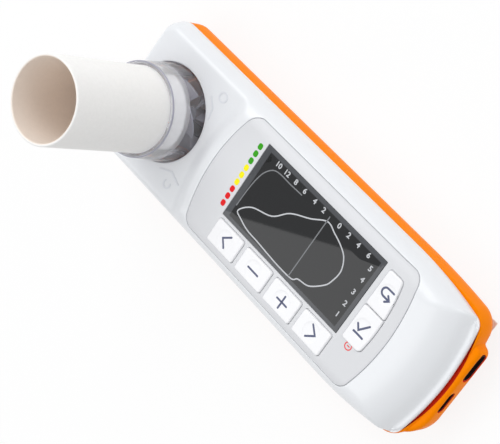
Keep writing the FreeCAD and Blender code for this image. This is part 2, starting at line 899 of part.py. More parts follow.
def case_screws():
    return Part.makeCompound([screw(x, y, screw_sink, screw_head_height, screw_tip)
                              for x, y in screw_places])


def door_screw():
    return screw(door_screw_x(), 0, seat_gap, door_screw_head, door_screw_tip)


def sector(inner, outer, first, last, z0, z1):
    """Part of a ring about the turbine's axis, between two angles in degrees."""
    wedge = Part.makeCylinder(outer, z1 - z0, Vector(0, 0, z0), Vector(0, 0, 1), last - first)
    wedge = wedge.cut(rod(0, 0, z0, z1, inner))
    wedge.rotate(Vector(0, 0, 0), Vector(0, 0, 1), first)
    return wedge.translated(Vector(tube_x, 0, 0))


def pickup_places():
    """Sideways place of each optical part, emitters outside and detectors inside."""
    return [(index - 1.5) * pickup_pitch for index in range(4)]


def pickup_rod(y, growth, reach):
    return Part.makeCylinder(pickup_radius + growth, reach, Vector(pickup_face_x, y, pickup_height),
                             Vector(-1, 0, 0))


def turbine_socket():
    """Liner of the head's bore, with the grooves that the turbine's lugs turn in."""
    liner = tube(tube_x, 0, wall, liner_top, liner_bore, liner_radius).common(cavity(0))
    groove_radius = turbine_radius + lug_reach + lug_gap
    low = lug_foot - lug_gap
    high = lug_foot + lug_height + lug_gap
    span = lug_half_angle + lug_gap_angle
    for index in range(lug_count):
        middle = index * 360 / lug_count
        liner = liner.cut(sector(turbine_radius, groove_radius, middle - span,
                                 middle + unlock_angle + span, low, high))
        liner = liner.cut(sector(turbine_radius, groove_radius, middle + unlock_angle - span,
                                 middle + unlock_angle + span, low, liner_top))
    for y in pickup_places():
        liner = liner.cut(pickup_rod(y, pickup_gap, liner_radius))
    return solid(liner)


def turbine_body():
    """Clear tube: collar for the mouthpiece, flange on the head, three bayonet lugs."""
    collar_radius = mouthpiece_radius + mouthpiece_gap + collar_wall
    flange_foot = liner_top + seat_gap + turbine_gap
    points = [
        (turbine_bore, turbine_foot),
        (turbine_radius, turbine_foot),
        (turbine_radius, flange_foot),
        (turbine_flange_radius, flange_foot),
        (turbine_flange_radius, turbine_flange_height),
        (collar_radius, collar_height),
        (mouthpiece_radius + mouthpiece_gap, collar_height),
        (mouthpiece_radius + mouthpiece_gap, mouthpiece_seat),
        (turbine_bore, mouthpiece_seat),
        (turbine_bore, turbine_foot),
    ]
    body = turned(tube_x, points, [])
    body = body.makeFillet(collar_edge, level_edges(body, collar_height))
    for index in range(lug_count):
        middle = index * 360 / lug_count
        body = body.fuse(sector((turbine_bore + turbine_radius) / 2, turbine_radius + lug_reach,
                                middle - lug_half_angle, middle + lug_half_angle, lug_foot,
                                lug_foot + lug_height))
    return solid(body)


def blade(foot, height, twist):
    """One swirl blade from the hub to the bore, turned evenly as it rises."""
    half = blade_thickness / 2
    sections = []
    for step in range(blade_steps + 1):
        share = step / blade_steps
        level = foot + share * height
        root = hub_radius - blade_root
        corners = [(root, -half), (turbine_radius, -half), (turbine_radius, half), (root, half)]
        wire = Part.makePolygon([Vector(x, y, level) for x, y in corners + corners[:1]])
        wire.rotate(Vector(0, 0, 0), Vector(0, 0, 1), share * twist)
        sections.append(wire)
    body = Part.makeLoft(sections, True, False)
    return body.common(rod(0, 0, foot, foot + height, turbine_bore - blade_gap))


def deflector(foot, height, twist, nose_up):
    """Hub with fixed swirl blades, and a seat in the hub for the shaft's bearing."""
    hub = rod(0, 0, foot, foot + height, hub_radius)
    nose_level = foot + height if nose_up else foot
    hub = hub.makeFillet(nose_radius, level_edges(hub, nose_level))
    blade_foot = foot + blade_setback
    blade_height = height - 2 * blade_setback
    body = hub
    for index in range(blade_count):
        vane = blade(blade_foot, blade_height, twist)
        vane.rotate(Vector(0, 0, 0), Vector(0, 0, 1), index * 360 / blade_count)
        body = body.fuse(vane)
    seat_foot = foot if nose_up else foot + height - bearing_height
    body = body.cut(rod(0, 0, seat_foot, seat_foot + bearing_height, bearing_radius))
    return solid(body.translated(Vector(tube_x, 0, 0)))


def front_bearing():
    top = front_deflector_foot + bearing_height
    bush = rod(tube_x, 0, front_deflector_foot, top, bearing_radius)
    return solid(bush.cut(rod(tube_x, 0, front_deflector_foot, top - bearing_floor,
                              shaft_radius + shaft_play)))


def rear_bearing():
    top = rear_deflector_foot + rear_deflector_height
    foot = top - bearing_height
    bush = rod(tube_x, 0, foot, top, bearing_radius)
    return solid(bush.cut(rod(tube_x, 0, foot + bearing_floor, top, shaft_radius + shaft_play)))


def rotor_shaft():
    low = rear_deflector_foot + rear_deflector_height - bearing_height + bearing_floor + shaft_play
    high = front_deflector_foot + bearing_height - bearing_floor - shaft_play
    return rod(tube_x, 0, low, high, shaft_radius)


def rotor_vane():
    top = vane_foot + vane_height
    sleeve = rod(tube_x, 0, vane_foot, top, vane_sleeve)
    paddle = centred_box(tube_x, 0, 2 * vane_radius, vane_thickness, vane_foot, top)
    tips = [edge for edge in paddle.Edges if edge.BoundBox.YLength > vane_thickness / 2]
    paddle = paddle.makeFillet(vane_corner, tips)
    return solid(paddle.fuse(sleeve).cut(rod(tube_x, 0, vane_foot, top, shaft_radius)))


def mouthpiece():
    foot = mouthpiece_seat + seat_gap
    inner = mouthpiece_radius - mouthpiece_wall
    paper = tube(tube_x, 0, foot, foot + mouthpiece_length, inner, mouthpiece_radius)
    return solid(paper.makeFillet(mouthpiece_edge, level_edges(paper, foot + mouthpiece_length)))


def sensor_board():
    return box(pickup_face_x, pickup_face_x + pickup_board_thickness, -pickup_board_width / 2,
               pickup_board_width / 2, wall + seat_gap, liner_top)


def pickup_reach():
    edge = 1.5 * pickup_pitch + pickup_radius
    inner = math.sqrt(liner_bore ** 2 - edge ** 2)
    nearest = math.sqrt(liner_bore ** 2 - (0.5 * pickup_pitch - pickup_radius) ** 2)
    return liner_radius + pickup_board_gap - max(inner, nearest) - pickup_setback


def ir_emitters():
    places = pickup_places()
    return Part.makeCompound([pickup_rod(y, 0, pickup_reach()) for y in (places[0], places[3])])


def ir_detectors():
    places = pickup_places()
    return Part.makeCompound([pickup_rod(y, 0, pickup_reach()) for y in (places[1], places[2])])


def all_nodes():
    key_names = side_key_names + ("key_escape", "key_confirm")
    nodes = {
        "front_shell": front_shell(),
        "rear_shell": rear_shell(),
        "front_panel": front_panel(),
        "display_window": display_window(),
        "lcd_panel": lcd_panel(),
        "lcd_frame": lcd_frame(),
        "key_mat": key_mat(),
        "dome_switches": dome_switches(),
        "main_board": main_board(),
        "board_chips": board_chips(),
        "buzzer": buzzer(),
        "radio_module": radio_module(),
        "usb_socket": port_shell(usb_y, usb_width, usb_height),
        "sensor_socket": port_shell(sensor_port_y, sensor_port_width, sensor_port_height),
        "turbine_socket": turbine_socket(),
        "sensor_board": sensor_board(),
        "ir_emitters": ir_emitters(),
        "ir_detectors": ir_detectors(),
        "turbine_body": turbine_body(),
        "front_deflector": deflector(front_deflector_foot, front_deflector_height, blade_twist, True),
        "rear_deflector": deflector(rear_deflector_foot, rear_deflector_height, -blade_twist, False),
        "front_bearing": front_bearing(),
        "rear_bearing": rear_bearing(),
        "rotor_shaft": rotor_shaft(),
        "rotor_vane": rotor_vane(),
        "mouthpiece": mouthpiece(),
        "battery_tray": battery_tray(),
        "battery_cell_left": battery_cell(-cell_offset()),
        "battery_cell_right": battery_cell(cell_offset()),
        "battery_springs": battery_springs(),
        "battery_contacts": battery_contacts(),
        "battery_door": battery_door(),
        "door_screw": door_screw(),
        "case_screws": case_screws(),
    }
    for name, outline in zip(key_names, key_outlines(0)):
        nodes[name] = key(outline)
    return nodes


os.makedirs("parts", exist_ok=True)
for name, shape in all_nodes().items():
    if not shape.isValid():
        print("not valid:", name)
    shape.exportStep("parts/" + name + ".step")
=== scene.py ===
import math

import bmesh
import bpy
import numpy as np
from mathutils import Matrix
from mathutils.geometry import delaunay_2d_cdt


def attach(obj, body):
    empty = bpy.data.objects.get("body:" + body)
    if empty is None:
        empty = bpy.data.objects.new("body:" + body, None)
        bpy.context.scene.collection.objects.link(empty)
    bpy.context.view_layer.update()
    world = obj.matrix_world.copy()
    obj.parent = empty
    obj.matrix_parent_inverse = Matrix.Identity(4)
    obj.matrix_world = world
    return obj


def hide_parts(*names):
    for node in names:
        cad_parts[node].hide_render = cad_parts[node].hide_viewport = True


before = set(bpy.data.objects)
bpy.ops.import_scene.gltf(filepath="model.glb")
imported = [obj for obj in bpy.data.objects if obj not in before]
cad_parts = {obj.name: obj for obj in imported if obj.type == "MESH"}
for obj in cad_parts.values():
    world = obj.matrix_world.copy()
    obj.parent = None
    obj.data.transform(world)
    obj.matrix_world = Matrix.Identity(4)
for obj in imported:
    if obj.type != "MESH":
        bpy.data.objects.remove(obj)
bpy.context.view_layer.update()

MM = 0.001


def placed(name, data):
    """A new object of some data, put into the scene."""
    obj = bpy.data.objects.new(name, data)
    bpy.context.scene.collection.objects.link(obj)
    return obj

# camera

camera_data = bpy.data.cameras.new("camera")
camera_data.lens = 111.9
camera_data.sensor_width = 36.0
camera_data.clip_end = 20.0
camera = placed("camera", camera_data)
camera.matrix_world = Matrix(((0.6144, -0.6443, 0.4553, 0.2291),
                              (0.5223, 0.7647, 0.3774, 0.19025),
                              (-0.5913, 0.0059, 0.8064, 0.4405),
                              (0.0, 0.0, 0.0, 1.0)))
bpy.context.scene.camera = camera

# sizes, in millimetres

BODY_LENGTH = 163.5
HALF_LENGTH = BODY_LENGTH / 2
HALF_WIDTH = 27.6
SEAM = 14.0
PANEL_TOP = 24.0
HEAD_TOP = 22.0
FRONT_ROUND = 8.0
BACK_ROUND = 8.5
HEAD_BOW = 300.0
HEAD_CORNER = 6.5
TAPER_START = 44.0
FRONT_TAPER = 140.0
BACK_TAPER = 250.0
FOOT_CENTRE = -16.2
RIM_X = 79.05
RIM_TOP = 15.7
RIM_WIDTH = 1.65
RIM_EDGE = 0.8
RIM_CORNER = 4.2
BACK_FOOT_X = 79.9
BACK_CORNER = 8.6
SLIT_FLOOR = 12.9
SLIT_INNER, SLIT_OUTER = 93.35, 96.5
SLIT_SPAN = 21.5
SLIT_NARROWING = 1.35
HEAD_CENTRE = 33.4
PANEL_HEAD_RADIUS = 65.0
PANEL_FOOT_RADIUS = 75.0
PANEL_LOW, PANEL_HIGH = -23.1, 24.3
PANEL_CORNER = 5.0
PANEL_GAP = 0.14
PANEL_THICKNESS = 1.2
PANEL_FLOOR, RECESS_FLOOR, WINDOW_FLOOR = 20.6, 20.4, 22.8
HEAD_CREST = 67.5
HEAD_STEP = 3.0
SLOPE_START = 78.7
SLOPE_RUN = 14.5
SLOPE_DROP = 7.8
EDGE_FALL, EDGE_FALL_RUN = 0.6, 3.2
WINDOW_X, WINDOW_Y = 13.1, 5.05
WINDOW_LENGTH, WINDOW_WIDTH = 59.4, 29.8
KEY_PITCH = 15.2
KEY_LENGTH, KEY_WIDTH = 13.2, 9.0
SIDE_KEY_Y = -15.8
KEY_TOP = 24.7
KEY_FLOOR, FLANGE_TOP = 20.2, 21.4
KEY_GAP = 0.2
KEY_EDGE = 0.5
DISH_RADIUS, DISH_DEPTH = 3.6, 0.25
FOOT_KEY_X = 45.2
TUBE_X = -60.0
BORE_RADIUS, OUTLET_RADIUS = 17.7, 16.5
TUBE_INNER, TUBE_OUTER = 13.9, 15.0
TUBE_FOOT, TUBE_TOP = 29.5, 82.8
FIELD_X, FIELD_Y = 13.5, 4.95
FIELD_LENGTH, FIELD_WIDTH = 55.4, 26.9

# outlines in plan


def arc_points(centre, radius, start, end, step=0.5, count=None):
    """Points on an arc from one to another, the short way round, without the last."""
    first = math.atan2(start[1] - centre[1], start[0] - centre[0])
    turn = math.atan2(end[1] - centre[1], end[0] - centre[0]) - first
    turn = (turn + math.pi) % (2 * math.pi) - math.pi
    count = count or max(2, int(math.ceil(max(abs(turn) * radius / step, abs(turn) / 0.06))))
    angles = [first + turn * i / count for i in range(count)]
    return [(centre[0] + radius * math.cos(a), centre[1] + radius * math.sin(a)) for a in angles]


def line_points(start, end, step=1.2):
    length = math.hypot(end[0] - start[0], end[1] - start[1])
    count = max(1, int(math.ceil(length / step)))
    return [(start[0] + (end[0] - start[0]) * i / count, start[1] + (end[1] - start[1]) * i / count)
            for i in range(count)]


def circles_cross(first, first_radius, second, second_radius):
    """The lower of the two points where two circles cross."""
    dx, dy = second[0] - first[0], second[1] - first[1]
    apart = math.hypot(dx, dy)
    along = (first_radius ** 2 - second_radius ** 2 + apart ** 2) / (2 * apart)
    aside = math.sqrt(first_radius ** 2 - along ** 2)
    base = (first[0] + along * dx / apart, first[1] + along * dy / apart)
    options = [(base[0] - side * aside * dy / apart, base[1] + side * aside * dx / apart)
               for side in (-1, 1)]
    return min(options, key=lambda point: point[1])


def toward(centre, point, radius):
    dx, dy = point[0] - centre[0], point[1] - centre[1]
    far = math.hypot(dx, dy)
    return (centre[0] + dx * radius / far, centre[1] + dy * radius / far)


def body_outline(taper, foot_x, foot_corner):
    """Outline of a shell: bowed head, straight then tapering sides, bowed foot, all corners round."""
    head = (HEAD_BOW - HALF_LENGTH, 0.0)
    side_middle = (TAPER_START, taper - HALF_WIDTH)
    foot = (FOOT_CENTRE, 0.0)
    foot_radius = foot_x - FOOT_CENTRE
    corner_y = HEAD_CORNER - HALF_WIDTH
    head_corner = (head[0] - math.sqrt((HEAD_BOW - HEAD_CORNER) ** 2 - corner_y ** 2), corner_y)
    on_head = toward(head, head_corner, HEAD_BOW)
    on_side = (head_corner[0], -HALF_WIDTH)
    corner = circles_cross(side_middle, taper - foot_corner, foot, foot_radius - foot_corner)
    on_taper = toward(side_middle, corner, taper)
    on_foot = toward(foot, corner, foot_radius)
    lower = arc_points(head, HEAD_BOW, (-HALF_LENGTH, 0.0), on_head, 1.0)
    lower += arc_points(head_corner, HEAD_CORNER, on_head, on_side)
    lower += line_points(on_side, (TAPER_START, -HALF_WIDTH))
    lower += arc_points(side_middle, taper, (TAPER_START, -HALF_WIDTH), on_taper, 1.0)
    lower += arc_points(corner, foot_corner, on_taper, on_foot)
    lower += arc_points(foot, foot_radius, on_foot, (foot_x, 0.0))
    upper = [(x, -y) for x, y in reversed(lower[1:])]
    return np.array(lower + [(foot_x, 0.0)] + upper)


BOSS_LOW, BOSS_HIGH = -11.8, 13.6
BOSS_SWEEP, BOSS_SPAN = 13.0, 11.5
BOSS_TURN = 3.0
BOSS_BEND = math.radians(75)
BOSS_ROOT = 58.0
BOSS_FOOT, BOSS_TOP = 5.0, 13.7
BOSS_EDGE, BOSS_ROUND = 1.4, 2.8


def boss_outline():
    """Outline of the socket boss, and how fully each point of it has rounded edges."""
    low_middle = (HALF_LENGTH - BOSS_SWEEP, BOSS_LOW)
    low_end = (low_middle[0] + math.sqrt(BOSS_SWEEP ** 2 - BOSS_SPAN ** 2), BOSS_LOW - BOSS_SPAN)
    high_middle = (HALF_LENGTH - BOSS_TURN, BOSS_HIGH)
    knee = (high_middle[0] + BOSS_TURN * math.cos(BOSS_BEND), BOSS_HIGH + BOSS_TURN * math.sin(BOSS_BEND))
    dip_middle = (2 * knee[0] - high_middle[0], 2 * knee[1] - high_middle[1])
    high_end = (dip_middle[0] - BOSS_TURN, dip_middle[1])
    low_tip, high_tip = (HALF_LENGTH, BOSS_LOW), (HALF_LENGTH, BOSS_HIGH)
    face = arc_points(low_middle, BOSS_SWEEP, low_end, low_tip)
    face += line_points(low_tip, high_tip)
    face += arc_points(high_middle, BOSS_TURN, high_tip, knee)
    face += arc_points(dip_middle, BOSS_TURN, knee, high_end)
    root = line_points(high_end, (BOSS_ROOT, high_end[1]), 4.0)
    root += line_points((BOSS_ROOT, high_end[1]), (BOSS_ROOT, low_end[1]), 6.0)
    root += line_points((BOSS_ROOT, low_end[1]), low_end, 4.0)
    steps = [math.dist(a, b) for a, b in zip(face, face[1:])]
    along = np.concatenate([[0.0], np.cumsum(steps)])
    share = np.clip(np.minimum(along, along[-1] - along) / 3.0, 0, 1)
    return np.array(face + root), np.concatenate([share, np.zeros(len(root))])


def panel_outline(growth):
    low, high = PANEL_LOW - growth, PANEL_HIGH + growth
    head, foot = (HEAD_CENTRE, 0.0), (FOOT_CENTRE, 0.0)
    head_radius, foot_radius = PANEL_HEAD_RADIUS + growth, PANEL_FOOT_RADIUS + growth
    points = []
    corners = []
    for y in (PANEL_LOW + PANEL_CORNER, PANEL_HIGH - PANEL_CORNER):
        head_x = HEAD_CENTRE - math.sqrt((PANEL_HEAD_RADIUS - PANEL_CORNER) ** 2 - y ** 2)
        foot_x = FOOT_CENTRE + math.sqrt((PANEL_FOOT_RADIUS - PANEL_CORNER) ** 2 - y ** 2)
        corners.append(((head_x, y), (foot_x, y)))
    (low_head, low_foot), (high_head, high_foot) = corners
    corner = PANEL_CORNER + growth
    points += arc_points(low_head, corner, toward(head, low_head, head_radius), (low_head[0], low))
    points += line_points((low_head[0], low), (low_foot[0], low))
    points += arc_points(low_foot, corner, (low_foot[0], low), toward(foot, low_foot, foot_radius))
    points += arc_points(foot, foot_radius, toward(foot, low_foot, foot_radius),
                         toward(foot, high_foot, foot_radius), 1.0)
    points += arc_points(high_foot, corner, toward(foot, high_foot, foot_radius), (high_foot[0], high))
    points += line_points((high_foot[0], high), (high_head[0], high))
    points += arc_points(high_head, corner, (high_head[0], high), toward(head, high_head, head_radius))
    points += arc_points(head, head_radius, toward(head, high_head, head_radius),
                         toward(head, low_head, head_radius), 1.0)
    return np.array(points)


def corner_arc(corners, index, radius):
    """Centre, start and end of the arc that rounds a corner, or nothing where it stays as it is."""
    corner = np.array(corners[index], float)
    before = np.array(corners[index - 1], float) - corner
    after = np.array(corners[(index + 1) % len(corners)], float) - corner
    before /= np.linalg.norm(before)
    after /= np.linalg.norm(after)
    half = math.acos(max(-1.0, min(1.0, float(before @ after)))) / 2
    nearly_straight = half > math.pi / 2 - 0.02
    if radius <= 0 or nearly_straight:
        return None
    cut = radius / math.tan(half)
    centre = corner + (before + after) / np.linalg.norm(before + after) * radius / math.sin(half)
    return centre, corner + before * cut, corner + after * cut


def rounded_profile(corners, radii, step=0.2, count=5):
    """Closed outline through corners, each rounded to its radius."""
    points = []
    for index, radius in enumerate(radii):
        arc = corner_arc(corners, index, radius)
        if arc is None:
            points.append(tuple(map(float, corners[index])))
            continue
        centre, start, end = arc
        points += arc_points(centre, radius, start, end, step, count)
        points.append(tuple(end))
    return points


def rounded(corners, radii, step=0.5):
    """Rounded outline in plan with points at even steps along its sides too."""
    points = rounded_profile(corners, radii, count=None)
    dense = []
    for i in range(len(points)):
        dense += line_points(points[i], points[(i + 1) % len(points)], step)
    return np.array(dense)


def rectangle(x, y, length, width, corner, step=1.0):
    a, b = length / 2, width / 2
    return rounded([(x - a, y - b), (x + a, y - b), (x + a, y + b), (x - a, y + b)], [corner] * 4, step)


def circle(x, y, radius, count=96):
    angles = np.linspace(0, 2 * math.pi, count, endpoint=False)
    return np.stack([x + radius * np.cos(angles), y + radius * np.sin(angles)], 1)


def foot_key_outline(upper, growth):
    """Outline of a foot key: straight but for its far end, which follows the panel's foot."""
    reach = PANEL_FOOT_RADIUS - 4.8 + growth
    low = 5.45 - growth if upper else -8.7 - growth
    high = 19.2 + growth if upper else 4.95 + growth
    arc_y = np.delete(np.linspace(low, high, 9), (6, 7) if upper else (1, 2))
    far = [(FOOT_CENTRE + math.sqrt(reach ** 2 - y * y), y) for y in arc_y]
    start = FOOT_KEY_X - growth
    far_radii = [0.0] * len(far)
    far_radii[0] = 0.5 if upper else 1.7 + growth
    far_radii[-1] = 1.7 + growth if upper else 0.5
    return rounded([(start, low)] + far + [(start, high)], [0.8 + growth] + far_radii + [0.8 + growth])


def side_key_place(index):
    return (WINDOW_X + (index - 1.5) * KEY_PITCH, SIDE_KEY_Y)


def key_outline(name, growth):
    if name == "key_escape":
        return foot_key_outline(True, growth)
    if name == "key_confirm":
        return foot_key_outline(False, growth)
    x, y = side_key_place(["key_back", "key_minus", "key_plus", "key_forward"].index(name))
    return rectangle(x, y, KEY_LENGTH + 2 * growth, KEY_WIDTH + 2 * growth, 0.8 + growth, 0.6)


KEYS = ["key_back", "key_minus", "key_plus", "key_forward", "key_escape", "key_confirm"]

# heights of the moulded faces


def joined_depth(first, second, corner):
    """The lesser of two depths, with a round corner where both are small."""
    near = (first < corner) & (second < corner)
    return np.where(near, corner - np.hypot(corner - first, corner - second), np.minimum(first, second))


def inside_depth(points, taper):
    """How deep each point lies inside the sides and the head, with the head's round corners."""
    x, y = points[:, 0], np.abs(points[:, 1])
    tapering = taper - np.hypot(x - TAPER_START, y + taper - HALF_WIDTH)
    side = np.where(x > TAPER_START, tapering, HALF_WIDTH - y)
    head = HEAD_BOW - np.hypot(x - (HEAD_BOW - HALF_LENGTH), y)
    return joined_depth(side, head, HEAD_CORNER)


def head_height(points):
    """Height of the flat round the turbine and of the S-shaped step up to the panel."""
    reach = np.hypot(points[:, 0] - HEAD_CENTRE, points[:, 1])
    share = np.clip((reach - HEAD_CREST) / (2 * HEAD_STEP), 0, 1)
    return PANEL_TOP - (PANEL_TOP - HEAD_TOP) * share * share * (3 - 2 * share)


def circle_through(a, b, c):
    """Centre and radius of the circle through three points."""
    (ax, ay), (bx, by), (cx, cy) = a, b, c
    a2, b2, c2 = ax * ax + ay * ay, bx * bx + by * by, cx * cx + cy * cy
    twice = 2 * (ax * (by - cy) + bx * (cy - ay) + cx * (ay - by))
    x = (a2 * (by - cy) + b2 * (cy - ay) + c2 * (ay - by)) / twice
    y = (a2 * (cx - bx) + b2 * (ax - cx) + c2 * (bx - ax)) / twice
    return (x, y), math.hypot(ax - x, ay - y)


SLOPE_END = (SLOPE_START + SLOPE_RUN, PANEL_TOP - SLOPE_DROP)
SLOPE_MIDDLE, SLOPE_RADIUS = circle_through(
    (SLOPE_START, PANEL_TOP), (SLOPE_START + 0.6 * SLOPE_RUN, PANEL_TOP - 0.31 * SLOPE_DROP), SLOPE_END)


def foot_height(points):
    """Height of the slope at the foot and of the flat rim round it."""
    reach = np.hypot(points[:, 0] - FOOT_CENTRE, points[:, 1])
    on_slope = np.clip(reach, SLOPE_START, SLOPE_END[0])
    slope = SLOPE_MIDDLE[1] + np.sqrt(np.maximum(SLOPE_RADIUS ** 2 - (on_slope - SLOPE_MIDDLE[0]) ** 2, 0))
    fall = np.clip((reach - SLOPE_END[0]) / EDGE_FALL_RUN + 1, 0, 1)
    slope -= EDGE_FALL * fall * fall * (3 - 2 * fall)
    height = np.where(reach < SLOPE_START, PANEL_TOP, slope)
    rim_start = RIM_X - FOOT_CENTRE - RIM_WIDTH
    share = np.clip((reach - SLOPE_END[0]) / (rim_start - SLOPE_END[0]), 0, 1)
    low = SLOPE_END[1] - EDGE_FALL
    return np.where(reach > SLOPE_END[0], low + (RIM_TOP - low) * share, height)


def front_height(points):
    """Height of the front shell's face, the panel's too, over any place in plan."""
    points = np.asarray(points, float)
    depth = inside_depth(points, FRONT_TAPER)
    rounding = np.clip(depth, 0, FRONT_ROUND)
    side = PANEL_TOP - FRONT_ROUND
    side += np.sqrt(np.maximum(FRONT_ROUND ** 2 - (FRONT_ROUND - rounding) ** 2, 0))
    top = np.minimum(head_height(points), foot_height(points))
    soft = 0.9 * np.clip((PANEL_TOP - top) / 1.5, 0, 1)
    gap = np.clip(soft - np.abs(side - top), 0, None)
    height = np.minimum(side, top) - np.where(soft > 0, gap * gap / (4 * np.maximum(soft, 1e-9)), 0)
    foot = RIM_X - FOOT_CENTRE - np.hypot(points[:, 0] - FOOT_CENTRE, points[:, 1])
    edge = np.clip(joined_depth(depth, foot, RIM_CORNER), 0, RIM_EDGE)
    lip = foot_height(points) - RIM_EDGE + np.sqrt(RIM_EDGE ** 2 - (RIM_EDGE - edge) ** 2)
    return np.minimum(height, lip)


# meshes


def smooth_but_sharp(mesh, angle):
    mesh.polygons.foreach_set("use_smooth", [True] * len(mesh.polygons))
    mesh.set_sharp_from_angle(angle=math.radians(angle))


def mesh_object(name, points, faces, sharp=40.0):
    """A mesh object from points in millimetres, smooth but for edges sharper than an angle."""
    mesh = bpy.data.meshes.new(name)
    mesh.from_pydata([(p[0] * MM, p[1] * MM, p[2] * MM) for p in points], [], faces)
    mesh.validate()
    mesh.update()
    smooth_but_sharp(mesh, sharp)
    return placed(name, mesh)


def signed_area(loop):
    x, y = loop[:, 0], loop[:, 1]
    return 0.5 * float(np.sum(x * np.roll(y, -1) - np.roll(x, -1) * y))


def inward_normals(loop):
    """Unit normals at each point of a counter-clockwise loop, towards its inside."""
    edge = np.roll(loop, -1, 0) - loop
    edge /= np.maximum(np.linalg.norm(edge, axis=1, keepdims=True), 1e-12)
    normal = np.stack([-edge[:, 1], edge[:, 0]], 1)
    mean = normal + np.roll(normal, 1, 0)
    scale = np.maximum(np.sum(mean * normal, 1, keepdims=True), 0.5)
    return mean / scale


def points_inside(points, loop):
    x, y = points[:, 0][:, None], points[:, 1][:, None]
    x1, y1 = loop[:, 0][None], loop[:, 1][None]
    x2, y2 = np.roll(loop[:, 0], -1)[None], np.roll(loop[:, 1], -1)[None]
    crosses = (y1 > y) != (y2 > y)
    with np.errstate(divide="ignore", invalid="ignore"):
        at = x1 + (y - y1) * (x2 - x1) / np.where(y2 == y1, 1e-12, y2 - y1)
    return (np.sum(crosses & (x < at), axis=1) % 2) == 1


def distance_to(points, loop):
    """Least distance from each point to a closed loop."""
    a, b = loop, np.roll(loop, -1, 0)
    best = np.full(len(points), 1e9)
    d = b - a
    length = np.maximum(np.sum(d * d, 1), 1e-12)
    for start in range(0, len(points), 2000):
        p = points[start:start + 2000]
        rel = p[:, None, :] - a[None]
        t = np.clip(np.sum(rel * d[None], 2) / length[None], 0, 1)
        gap = rel - t[..., None] * d[None]
        best[start:start + 2000] = np.sqrt(np.min(np.sum(gap * gap, 2), 1))
    return best


def triangulate(points, loops, outer, holes):
    """Triangles over the area inside one loop and outside others, through given points and loops."""
    result = delaunay_2d_cdt([tuple(p) for p in points], loops, [], 0, 1e-6)
    verts = np.array([tuple(v) for v in result[0]])
    faces = np.array([f for f in result[2] if len(f) == 3])
    middle = verts[faces].mean(1)
    keep = points_inside(middle, outer)
    for hole in holes:
        keep &= ~points_inside(middle, hole)
    faces = faces[keep]
    a, b, c = verts[faces[:, 0]], verts[faces[:, 1]], verts[faces[:, 2]]
    area = (b[:, 0] - a[:, 0]) * (c[:, 1] - a[:, 1]) - (b[:, 1] - a[:, 1]) * (c[:, 0] - a[:, 0])
    faces[area < 0] = faces[area < 0][:, ::-1]
    source = [ids[0] if len(ids) else -1 for ids in result[3]]
    return verts, faces, source


def edge_steps(radius):
    if radius <= 0:
        return [(0.0, 0.0)]
    steps = 5 if radius > 0.4 else 3
    angles = [math.pi / 2 * i / steps for i in range(steps + 1)]
    return [(radius * (1 - math.cos(a)), radius * (1 - math.sin(a))) for a in angles]


def face_grid(outer, holes, guards, spacing):
    """Points spread evenly over a face, clear of the loops that its edges follow."""
    low, high = outer.min(0), outer.max(0)
    xs = np.arange(low[0] + spacing / 2, high[0], spacing)
    ys = np.arange(low[1] + spacing / 2, high[1], spacing * 0.866)
    grid = np.array([(x + (spacing / 2 if row % 2 else 0), y) for row, y in enumerate(ys) for x in xs])
    if not len(grid):
        return grid
    keep = points_inside(grid, outer)
    for hole in holes:
        keep &= ~points_inside(grid, hole)
    grid = grid[keep]
    for loop in guards:
        if len(grid):
            grid = grid[distance_to(grid, loop) > 0.45 * spacing]
    return grid


